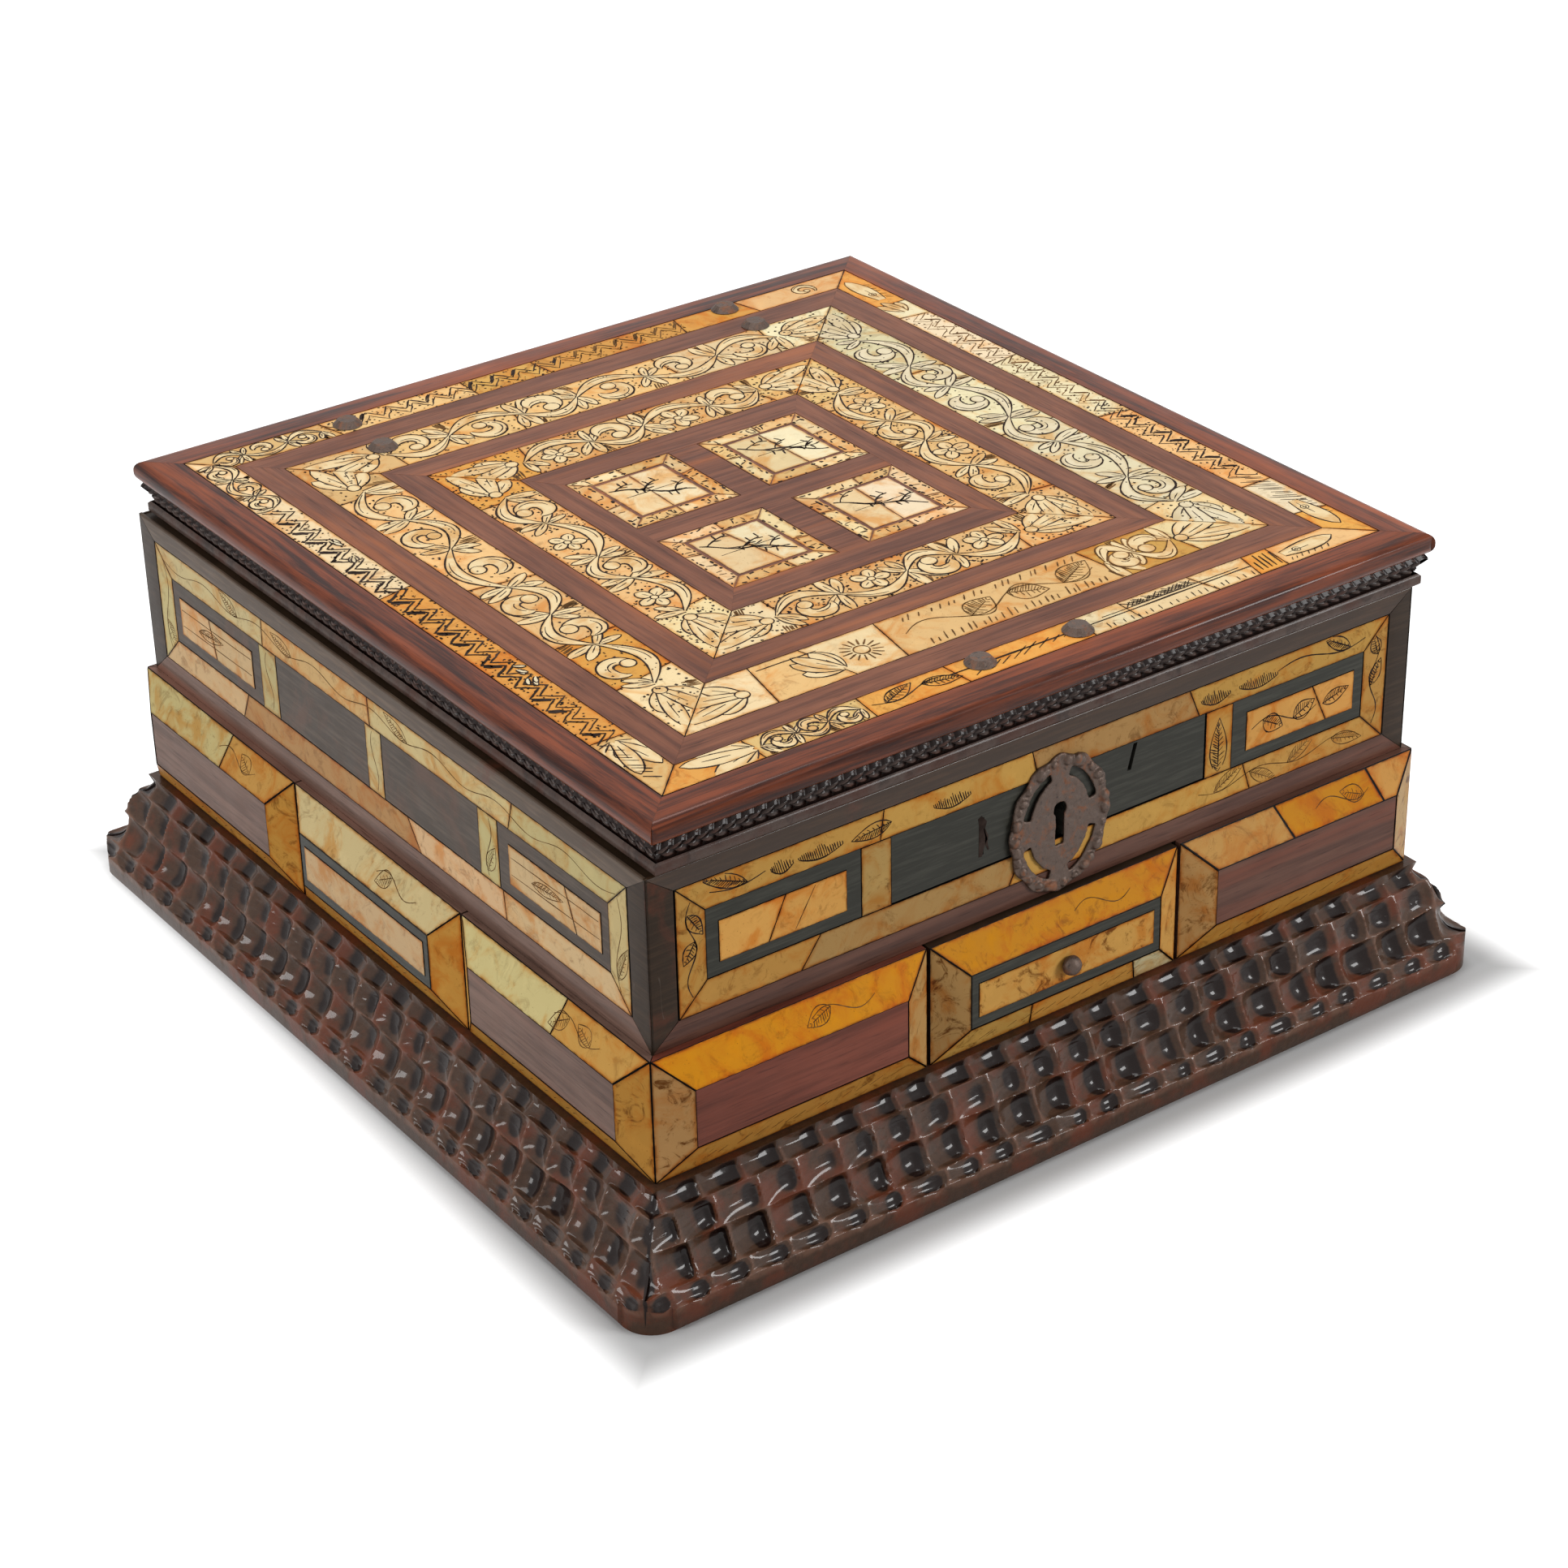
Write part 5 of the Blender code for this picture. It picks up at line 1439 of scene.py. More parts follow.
@dataclass
class LidEdge:
    """The braided moulding under the lid's nose."""

    core: Point2 = (0.1423, 0.1463)
    shift: Point2 = (0.0024, -0.0018)
    low: float = 0.1419
    quirk: float = 0.1459
    top: float = 0.153
    reach: float = 0.0086
    slope: float = 0.0026
    fillet: float = 0.0072
    pitch: float = 0.0046

    def build(self) -> None:
        """Model and dress the four mouldings."""
        inner = self.reach - self.slope
        outline = [(0.0003, self.low), (self.fillet - 0.0006, self.low), (self.fillet, self.low + 0.0006),
                   (self.fillet, self.quirk - 0.0008), (self.fillet - 0.0008, self.quirk), (inner, self.quirk),
                   (self.reach, self.top), (0.0003, self.top)]
        start, end = walk(outline)[5:7]
        rows = [RippleRow(start + (end - start) * index / 3, start + (end - start) * (index + 1) / 3, 0.0013,
                          0.5 * index, 0.3 * (-1.0) ** index) for index in range(3)]
        for side in Side:
            moulding = RippleMoulding(
                "braid_" + side.word(), side, self.core, outline, rows, self.pitch, 0.00036, groove=0.0004,
                line=0.0004, kind=Carving.BEADS, skew=0.62, seed=side.value + 7, shift=self.shift)
            Bench.hand_over(moulding.build(), (BRAID,), "lid", "rippled_moulding", "ripple_" + side.word())


@dataclass
class LidTop:
    """The lid's wooden rings, bone bands and small panels."""

    middle: Point2 = (0.0024, -0.0018)
    top: float = 0.1604
    nose: float = 0.0074
    half: Point2 = (0.1521, 0.1561)
    bands: Sequence[Point2] = ((0.0127, 0.0129), (0.0376, 0.0235), (0.0724, 0.0226))
    sunk: float = -0.0006
    proud: float = 0.00005
    engraving: Engraving = field(default_factory=Engraving)

    def bed(self, x: float = 0.0, y: float = 0.0) -> Bed:
        """Return the bed at a place on the lid, from the lid's middle."""
        return Bed(Vector((self.middle[0] + x, self.middle[1] + y, self.top)), X_WAY, Y_WAY)

    def strips(self, outer: float, width: float) -> Iterator[tuple[int, Bed, float]]:
        """Yield the place, bed and half length of the four strips of one ring."""
        half = (self.half[0] - outer, self.half[1] - outer)
        for index, bed in enumerate(self.bed().ring(half, width)):
            yield index, bed, half[index % 2]

    def band(self, name: str, ring: Point2, joints: Sequence[Sequence[float]], tones: Sequence[Sequence[Tone]],
             dirt: float) -> None:
        """Model one ring of tiles.

        Args:
            name: solid that the ring stands for.
            ring: distance of the ring from the lid's edge, and its width.
            joints: joints on the front, right, back and left.
            tones: tones of the tiles on those sides.
            dirt: how dirty the bone is.
        """
        width = ring[1]
        made = []
        for index, bed, length in self.strips(*ring):
            strip = TileStrip(bed, length, width, (width, width), joints[index], tones[index], dirt,
                              seed=index + 5 * len(name))
            made.append(strip.build(f"{name}_{index}"))
        Bench.hand_over(Bench.join("tiles_" + name, made), TILES, "lid", "bone", name)

    def burins(self, place: int, engraving: Engraving) -> Iterator[tuple[int, Burin]]:
        """Yield the place of each strip of one bone band, and a burin for it."""
        outer, width = self.bands[place]
        for index, bed, length in self.strips(outer, width):
            yield index, Burin(engraving, bed, length, width, (width, width), seed=31 + 20 * place + index)

    def woods(self) -> None:
        """Model the rounded nose and the flat wooden rings between the bands."""
        made = {name: [] for name in ("nose_x", "nose_y", "rings_x", "rings_y")}
        rings = [(-0.0001, self.bands[0][0] - SEAM, -self.nose, 0.0032)]
        for first, second in zip(self.bands, self.bands[1:]):
            rings.append((sum(first) + SEAM, second[0] - sum(first) - 2 * SEAM, self.sunk, 0.0))
        for place, (outer, width, low, rounding) in enumerate(rings):
            for index, bed, length in self.strips(outer, width):
                strip = WoodStrip(bed, length, width, (width, width), low, self.proud, rounding, True)
                kind = ("rings_" if place else "nose_") + "xy"[index % 2]
                made[kind].append(strip.build(f"ring_{place}_{index}"))
        inner = sum(self.bands[2]) + SEAM
        widths = (self.half[1] - inner - 0.0487, self.half[0] - inner - 0.0475)
        for index, bed, length in self.strips(inner, widths[0]):
            width, run = widths[index % 2], widths[1 - index % 2]
            strip = WoodStrip(bed, length, width, (run, run), self.sunk, self.proud)
            made["rings_" + "xy"[index % 2]].append(strip.build(f"field_{index}"))
        for name, pieces in made.items():
            finish = replace(NOSE if name.startswith("nose") else RED, grain=name[-1].upper())
            Bench.hand_over(Bench.join("lid_" + name, pieces), (finish,), "lid", "red_wood")

    def panel(self, name: str, x: float, y: float, seed: int) -> None:
        """Model one small panel: a dashed border, a red line and an engraved middle.

        Args:
            name: solid that the panel stands for.
            x: place of its middle from the lid's middle.
            y: place of its middle from the lid's middle.
            seed: seed of its small irregularities.
        """
        half, border, line = (0.0206, 0.0212), 0.006, 0.0009
        rng = random.Random(seed)
        made = []
        for index, bed in enumerate(self.bed(x, y).ring(half, border)):
            length = half[index % 2]
            strip = TileStrip(bed, length, border, (border, border), spread(length, 2, seed + index, 0.3),
                              (Tone.HONEY, Tone.CREAM, Tone.PALE), 0.5, seed + index)
            made.append(strip.build(f"{name}_{index}"))
            self.dashes(Burin(self.engraving, bed, length, border, (border, border), seed=seed + index))
        inner = (half[0] - border - line, half[1] - border - line)
        middle = self.bed(x, y - inner[1])
        tiles = TileStrip(middle, inner[0], 2 * inner[1], (0.0, 0.0), (rng.uniform(-0.003, 0.003),),
                          (Tone.CREAM, Tone.PALE), 0.25, seed)
        made.append(tiles.build(name + "_middle"))
        self.sprig(Burin(self.engraving, middle, inner[0], 2 * inner[1], seed=seed))
        Bench.hand_over(Bench.join("tiles_" + name, made), TILES, "lid", "bone", name)
        ground = Bench.block("line_" + name, (x - half[0], y - half[1], -0.0013),
                             (x + half[0], y + half[1], -0.00006))
        ground.data.transform(Matrix.Translation((*self.middle, self.top)))
        with Bench.editing(ground):
            bpy.ops.mesh.subdivide(number_cuts=1)
        Bench.hand_over(ground, (RED,), "lid", "red_wood")

    @staticmethod
    def dashes(burin: Burin) -> None:
        """Cut small bricks and ticks along both edges of a panel's border."""
        rng = burin.rng
        count = round(2 * burin.half / 0.0027)
        for index in range(count):
            for row in (0.16, 0.8):
                if rng.random() < 0.25:
                    continue
                x = -burin.half + 2 * burin.half * (index + 0.5) / count + rng.uniform(-0.0008, 0.0008)
                y = burin.width * (row + rng.uniform(-0.08, 0.1))
                burin.line((x, y), (x + rng.uniform(0.0008, 0.0022), y + rng.uniform(-0.0006, 0.0006)),
                           rng.uniform(0.0005, 0.0011), 2)
            if rng.random() < 0.35:
                x = rng.uniform(-burin.half, burin.half)
                burin.line((x, burin.width * 0.3), (x + rng.uniform(-0.001, 0.001), burin.width * 0.7), 0.0005, 2)

    @staticmethod
    def sprig(burin: Burin) -> None:
        """Cut a twig with side shoots and small leaves across the panel's joints."""
        rng, half, width = burin.rng, burin.half, burin.width
        burin.line((-half, width * 0.5), (half, width * 0.5), 0.00034, 8)
        rise, phase = rng.choice((-1.0, 1.0)), rng.uniform(0.0, 6.0)
        stem = []
        for step in range(13):
            wave = rise * 0.05 * (step - 6) + 0.04 * math.sin(phase + 0.8 * step)
            stem.append((half * (step / 6.6 - 0.91), width * (0.5 + wave)))
        burin.stroke(stem, 0.001)
        for index, root in enumerate(stem[1:11:2]):
            way, reach = (-1.0) ** index * rng.uniform(0.5, 1.1), width * rng.uniform(0.2, 0.38)
            shoot = [polar(root, reach * far, way * (1.0 - 0.4 * far)) for far in (0.0, 0.2, 0.4, 0.6, 0.8, 1.0)]
            burin.stroke(shoot, rng.uniform(0.0005, 0.0008))
            for place, spot in enumerate(shoot[2:]):
                burin.line(spot, polar(spot, 0.003, way + (0.9 if place % 2 else -0.9)), 0.0007, 4)

    def engrave_outer(self) -> None:
        """Cut the outer band: tiles of leaves in front, zigzags on the other sides."""
        engraving = Engraving()
        for index, burin in self.burins(0, engraving):
            length, width, middle = burin.half, burin.width, burin.width * 0.5
            if index == 0:
                self.front_tiles(burin, length)
            elif index == 1:
                self.eye_tile(burin, -length + 0.022, -1.0)
                burin.hatch((-length + 0.03, 0.002), (-length + 0.055, 0.002), 1.0, 0.01, 14, 0.0004)
                burin.zigzags(-length + 0.056, -0.01, 0.009, 0.0009)
                burin.ink = Ink.BROWN
                burin.zigzags(-0.01, length - 0.052, 0.0085, 0.0006)
                burin.spray((length - 0.046, middle), 0.1, 0.012, 0.6, 3)
                self.eye_tile(burin, length - 0.02, 1.0)
            elif index == 2:
                burin.ink = Ink.BROWN
                burin.volute((-length + 0.024, middle), width * 0.48, 2.4, 6.0, width * 0.11)
                burin.zigzags(-length + 0.078, -length + 0.13, 0.0085, 0.0008)
                burin.ink = Ink.BLACK
                burin.zigzags(-length + 0.13, length - 0.052, 0.009, 0.0008)
                burin.scrolls(length - 0.05, length - 0.008, 0.014)
            else:
                burin.scrolls(-length + 0.008, -length + 0.05, 0.014)
                burin.zigzags(-length + 0.052, length - 0.036, 0.0092, 0.00105)
                burin.spray((length - 0.034, middle), -0.1, 0.02, 0.5)
                burin.hatch((length - 0.036, 0.002), (length - 0.012, 0.002), 0.9, 0.006, 9, 0.0005)
                for chip in (-0.06, -0.046, 0.052, 0.06):
                    self.chip(burin, (chip, width * 0.72))
        engraving.build("outer_engraving", "lid")

    @staticmethod
    def chip(burin: Burin, centre: Point2) -> None:
        """Lay a small pale chip with a ragged edge."""
        kept, burin.wash = burin.wash, Ink.PALE
        for _ in range(3):
            root = (centre[0] + burin.rng.uniform(-0.002, 0.002), centre[1] + burin.rng.uniform(-0.0015, 0.0015))
            burin.lobe(root, burin.rng.uniform(-0.8, 0.8), 0.004, 0.0008, 0.5, ())
        burin.wash = kept

    @staticmethod
    def eye_tile(burin: Burin, x: float, way: float) -> None:
        """Cut a long leaf with a ringed dot at its root."""
        middle = burin.width / 2
        burin.lobe((x - way * 0.012, middle), 0.0 if way > 0 else math.pi, 0.022, burin.width * 0.26, 0.1)
        for radius, sweep in ((0.0014, 6.2), (0.0005, 5.5)):
            burin.arc((x - way * 0.006, middle), radius, sweep)
        burin.hatch((x - way * 0.014, 0.0015), (x + way * 0.004, 0.0015), 1.0, 0.0025, 7)

    @staticmethod
    def front_tiles(burin: Burin, length: float) -> None:
        """Cut the front of the outer band, tile by tile from the left."""
        width = burin.width
        burin.spray((-length + 0.036, width * 0.5), math.pi - 0.1, 0.022, 0.45)
        burin.scrolls(-0.1, -0.064, 0.014)
        burin.dots(-0.1, -0.062, 60)
        burin.vine(-0.06, -0.028, 0.016, 0.0004, 0.9)
        burin.hatch((-0.026, 0.002), (0.02, 0.006), 0.5, 0.01, 9)
        burin.line((-0.03, width * 0.56), (0.018, width * 0.5), 0.0007, 10)
        burin.line((0.024, width * 0.5), (0.09, width * 0.5), 0.0006, 12)
        burin.line((0.03, width * 0.62), (0.086, width * 0.62), 0.0004, 10)
        burin.hatch((0.04, width * 0.64), (0.066, width * 0.64), 0.7, 0.005, 18)
        burin.hatch((0.043, width * 0.64), (0.069, width * 0.64), 2.4, 0.005, 18)
        burin.hatch((0.026, 0.0012), (0.088, 0.0012), 1.35, 0.003, 20)
        burin.hatch((0.09, 0.002), (0.1, 0.002), 1.4, 0.009, 5, 0.0005)
        LidTop.eye_tile(burin, length - 0.024, 1.0)

    def engrave_middle(self) -> None:
        """Cut the middle band: leafy scrolls, and plain tiles in front."""
        engraving = Engraving()
        for index, burin in self.burins(1, engraving):
            length, width = burin.half, burin.width
            if index:
                burin.wash = Ink.PALE if index == 1 else Ink.CREAM
                burin.scrolls(-length + 1.4 * width, length - 1.4 * width, 0.0265)
                burin.dots(-length, length, 420, 0.0005)
                burin.corner(1.0)
                burin.corner(-1.0)
                continue
            burin.corner(-1.0)
            burin.spray((-length + 0.062, width * 0.25), 2.2, 0.018, 0.45)
            burin.line((-length + 0.04, width * 0.86), (-length + 0.062, width * 0.84), 0.0006)
            burin.ink = Ink.BROWN
            sun = (-0.041, width * 0.5)
            burin.disc(sun, 0.0026)
            for turn in range(16):
                way = 2 * math.pi * turn / 16
                burin.line(polar(sun, 0.0034, way), polar(sun, 0.007, way), 0.0006, 3)
            burin.vine(-0.024, 0.05, 0.018, 0.00044, 0.8)
            burin.hatch((-0.022, 0.0015), (0.05, 0.0015), 1.2, 0.005, 26, 0.0005)
            burin.hatch((-0.022, width * 0.8), (0.05, width * 0.8), 1.0, 0.004, 20, 0.0005)
            burin.scrolls(0.056, 0.082, 0.014)
            burin.ink = Ink.BLACK
            burin.corner(1.0)
        engraving.build("middle_engraving", "lid")

    def engrave_inner(self) -> None:
        """Cut the inner band: scrolls and flowers on a stippled ground."""
        engraving = Engraving()
        for _, burin in self.burins(2, engraving):
            end = burin.half - 1.4 * burin.width
            burin.scrolls(-end, end, 0.027, True)
            burin.corner(1.0)
            burin.corner(-1.0)
            burin.dots(-burin.half, burin.half, 760, 0.00055)
        engraving.build("inner_engraving", "lid")

    def build(self) -> None:
        """Model and dress the lid's top."""
        cream, honey, amber = Tone.CREAM, Tone.HONEY, Tone.AMBER
        pale, ochre = Tone.PALE, Tone.OCHRE
        self.woods()
        self.band("outer_band", self.bands[0],
                  ((-0.103, -0.062, -0.028, 0.022, 0.04, 0.07, 0.09, 0.101),
                   (-0.118, -0.092, -0.02, 0.04, 0.092, 0.106), (-0.09, -0.06, 0.0, 0.03, 0.086),
                   (-0.1, -0.015, 0.106)),
                  ((amber, honey, amber, amber, pale, cream, cream, amber, honey),
                   (amber, pale, honey, pale, pale, pale, amber),
                   (honey, amber, amber, ochre, honey, honey), (cream, cream, amber, honey)), 0.45)
        self.band("middle_band", self.bands[1],
                  ((-0.078, -0.054, -0.03, 0.054, 0.084), (-0.082, -0.01, 0.05),
                   (-0.078, -0.035, 0.03, 0.08), (-0.082, 0.0, 0.048, 0.08)),
                  ((cream, honey, cream, honey, ochre, cream), (cream, pale, pale, pale),
                   (pale, cream, honey, honey, honey), (honey, honey, honey, amber, cream)), 0.4)
        self.band("inner_band", self.bands[2], ((-0.046, 0.046), (-0.05, 0.05)) * 2,
                  ((cream, honey, honey), (honey,), (honey, honey, amber), (amber, honey, cream)), 0.35)
        centre = (0.0061 + 0.0473) / 2, (0.0061 + 0.0485) / 2
        for row, up in (("front", -1.0), ("back", 1.0)):
            for column, way in (("left", -1.0), ("right", 1.0)):
                self.panel(f"lid_panel_{row}_{column}", way * centre[0], up * centre[1], 90 + int(3 * up + way))
        self.engraving.build("panel_engraving", "lid")
        self.engrave_outer()
        self.engrave_middle()
        self.engrave_inner()


@dataclass
class UpperFace:
    """One upper wall face: ebony border, bone frame with posts, black windows and small bone panels."""

    side: Side
    engraving: Engraving
    low: float = 0.0818
    high: float = 0.14132
    frame_low: float = 0.0901
    frame_high: float = 0.1344
    strip: float = 0.0103
    proud: float = 0.00035
    thick: float = 0.0013

    def __post_init__(self) -> None:
        """Choose the lengths of this side."""
        self.wall, self.plane = (0.1495, 0.1535) if self.side.across else (0.1535, 0.1495)
        self.half = self.wall - 0.0096
        self.front = self.side is Side.FRONT
        self.level = (self.frame_high + self.frame_low) / 2
        self.posts = [(-0.0678, 0.0112), (0.0678, 0.0112)]
        if not self.front:
            self.posts.insert(1, (0.0, 0.0098))
        self.seed = 200 + 20 * self.side.value

    def bed(self, height: float, along: float = 0.0) -> Bed:
        """Return the bed at a place on the wall."""
        return casket_bed(self.side, self.plane, height).moved(along)

    def borders(self) -> None:
        """Model the mitred wooden border, black above and purple below."""
        reach = self.wall - self.half
        rise, drop = self.frame_low - self.low, self.high - self.frame_high
        half = (self.wall + self.proud, (self.high - self.low) / 2)
        beds = self.bed((self.low + self.high) / 2).ring(half, reach)
        sizes = ((half[0], rise - SEAM, (reach, reach)), (half[1], reach - SEAM, (rise, drop)),
                 (half[0], drop - SEAM, (reach, reach)), (half[1], reach - SEAM, (drop, rise)))
        for word, bed, (length, width, run) in zip(("below", "right", "above", "left"), beds, sizes):
            low, rounding = (-0.0008, 0.00062) if word == "above" else (-0.0004, 0.0002)
            strip = WoodStrip(bed, length, width, run, low, self.proud, rounding)
            piece = strip.build(f"border_{self.side.word()}_{word}")
            Bench.hand_over(piece, (self.border_finish(word),), "case", "ebonised_wood")

    def border_finish(self, word: str) -> Finish:
        """Return the finish of one of the border's strips."""
        if word == "below":
            # The right and left lower borders take the purple wood lightened as a painted reflection.
            return PURPLE if self.side.across else replace(GREY, grain="Y")
        if word == "above":
            # The right and left upper borders take the black lightened as a painted reflection.
            return EDGE if self.side.across else DUSTY
        return CORNER if self.front and word == "left" else EBONY

    def tones(self, place: int) -> Sequence[Tone]:
        """Return the tones of the lower, right, upper and left strips of the frame."""
        if self.front:
            long, short = (Tone.OCHRE, Tone.TAN, Tone.OCHRE), (Tone.OCHRE, Tone.TAN)
            return (long, short, long, short)[place]
        return ((Tone.PINK, Tone.TAN, Tone.PINK), (Tone.LEMON, Tone.TAN), (Tone.LEMON, Tone.LEMON, Tone.HONEY),
                (Tone.LEMON, Tone.PALE))[place]

    def frame(self) -> None:
        """Model the bone frame and its posts."""
        tall, strip = (self.frame_high - self.frame_low) / 2, self.strip
        made = []
        for index, bed in enumerate(self.bed(self.level).ring((self.half, tall), strip)):
            seed, length = self.seed + index, tall if index % 2 else self.half
            joints = () if index % 2 else spread(length, 4, seed, 0.35)
            dirt = 0.6 if self.front or index == 0 else 0.4
            tiles = TileStrip(bed, length, strip, (strip, strip), joints, self.tones(index), dirt, seed, 0.8,
                              thick=self.thick, proud=self.proud)
            made.append(tiles.build(f"frame_{index}"))
            self.frame_lines(Burin(self.engraving, bed, length, strip, (strip, strip), self.proud, seed,
                                   Ink.BLACK if self.front else Ink.BROWN), index)
        half = tall - strip
        for index, (place, width) in enumerate(self.posts):
            wall = self.bed(self.frame_low + strip + half, place + width / 2)
            post = Bed(wall.origin, wall.across, -wall.along)
            seed = self.seed + 9 + index
            tone = (Tone.TAN, Tone.OCHRE)[index % 2] if self.front else Tone.LEMON
            tiles = TileStrip(post, half, width, (0.0, 0.0), (), (tone,), 0.7 if self.front and index == 0 else 0.4,
                              seed, thick=self.thick, proud=self.proud)
            made.append(tiles.build(f"post_{index}"))
            burin = Burin(self.engraving, post, half, width, (0.0, 0.0), self.proud, seed, Ink.BROWN)
            if self.front and index == 1:
                burin.ink = Ink.BLACK
                burin.leaf((-half, width * 0.5), 0.0, half * 1.7, width * 0.32, 0.00048)
            elif not self.front:
                burin.vine(-half, half, 0.012, 0.00032, 0.3)
        piece = Bench.join(f"tiles_{self.side.word()}_frame", made)
        Bench.hand_over(piece, TILES, "case", "bone", self.side.word() + "_frame")

    def frame_lines(self, burin: Burin, index: int) -> None:
        """Cut the ornament of the frame's lower, right, upper or left strip."""
        length = burin.half
        if not self.front and index:
            burin.vine(-length + 0.006, length - 0.006, 0.018, 0.00034, 0.35)
        elif index == 2:
            burin.vine(-length + 0.01, -0.092, 0.016, 0.00052, 0.8)
            for first, last in ((-0.092, -0.076), (-0.072, -0.06), (0.032, 0.046), (0.08, 0.096), (0.098, 0.106)):
                burin.comb(first, last)
            burin.leaf((0.062, self.strip * 0.5), 0.1, 0.015, self.strip * 0.25, 0.00046)
            burin.vine(0.108, length - 0.012, 0.014, 0.00046, 0.5)
        elif index:
            burin.vine(-length + 0.006, length - 0.006, 0.011, 0.00046, 0.8)
        elif self.front:
            burin.ink = Ink.BROWN
            burin.vine(0.06, length - 0.012, 0.017, 0.00034, 0.7)

    def windows(self) -> None:
        """Model the black plates in the windows, and the small bone panels on the outer ones."""
        low, high = self.frame_low + self.strip + 0.0001, self.frame_high - self.strip - 0.0001
        edges = [-self.half + self.strip]
        for place, width in self.posts:
            edges += [place - width / 2, place + width / 2]
        edges.append(self.half - self.strip)
        for index, (first, last) in enumerate(zip(edges[::2], edges[1::2])):
            outer = index in (0, len(edges) // 2 - 1)
            if self.front and not outer:
                continue
            middle, half = (first + last) / 2, (last - first) / 2 - 0.0001
            name = f"{self.side.word()}_{index}"
            plate = Bench.plate("window_" + name, (-half, low, -0.0004), (half, high, self.proud - 0.00006))
            plate.data.transform(self.bed(0.0, middle).matrix())
            # The side windows take the black lightened as a painted reflection.
            Bench.hand_over(plate, (SLATE if self.front else SMOKE,), "case", "ebonised_wood")
            if outer:
                self.small_panel(name, middle, half - 0.0048, self.seed + index)

    def small_panel(self, name: str, middle: float, long: float, seed: int) -> None:
        """Model one small bone panel and cut its few lines.

        Args:
            name: side and place of its window.
            middle: place of the window's middle along the wall.
            long: half length of the panel.
            seed: seed of its small irregularities.
        """
        tall, last, proud = 0.0071, middle > 0, self.proud + 0.00015
        bed = self.bed(self.level - 0.0005 - tall, middle + (0.001 if last else -0.0005))
        joints = (long * 0.35,) if last else (-long * 0.1,)
        tiles = TileStrip(bed, long, 2 * tall, (0.0, 0.0), joints, (Tone.SUN if self.front else Tone.PINK,), 0.35,
                          seed + 15, 0.5, thick=0.0006, proud=proud)
        Bench.hand_over(tiles.build("tile_" + name), TILES, "case", "bone")
        burin = Burin(self.engraving, bed, long, 2 * tall, (0.0, 0.0), proud, seed, Ink.BROWN)
        if self.front and last:
            burin.ink = Ink.BLACK
            burin.vine(-long * 0.9, long * 0.3, long * 0.55, 0.00046, 1.0)
            burin.leaf((long * 0.42, tall * 0.9), 0.25, long * 0.5, tall * 0.35, 0.00046)
        elif self.front:
            burin.stroke([(long * (0.18 + 0.04 * step), tall * (0.12 + 0.22 * step)) for step in range(9)], 0.00036)
        else:
            for row in (0.55, 1.4):
                burin.line((-long * 0.95, tall * row), (long * 0.95, tall * (row + 0.1)), 0.00034, 10)
            burin.leaf((-long * 0.5, tall * 0.9), 0.1, long * 0.7, tall * 0.28, 0.00036)

    def build(self) -> None:
        """Model and dress the face."""
        self.borders()
        self.frame()
        self.windows()
        if self.front:
            gouge = Burin(self.engraving, self.bed(0.104, -0.0275), 0.006, 0.015, seed=self.seed)
            gouge.stroke([(-0.0006, 0.0005), (-0.0002, 0.0035), (0.0005, 0.006), (0.0, 0.0095), (0.0004, 0.012),
                          (-0.0008, 0.0144)], 0.003)
            gouge.stroke([(0.0009, 0.01), (0.0019, 0.007), (0.0017, 0.0045), (0.0026, 0.002)], 0.0013)


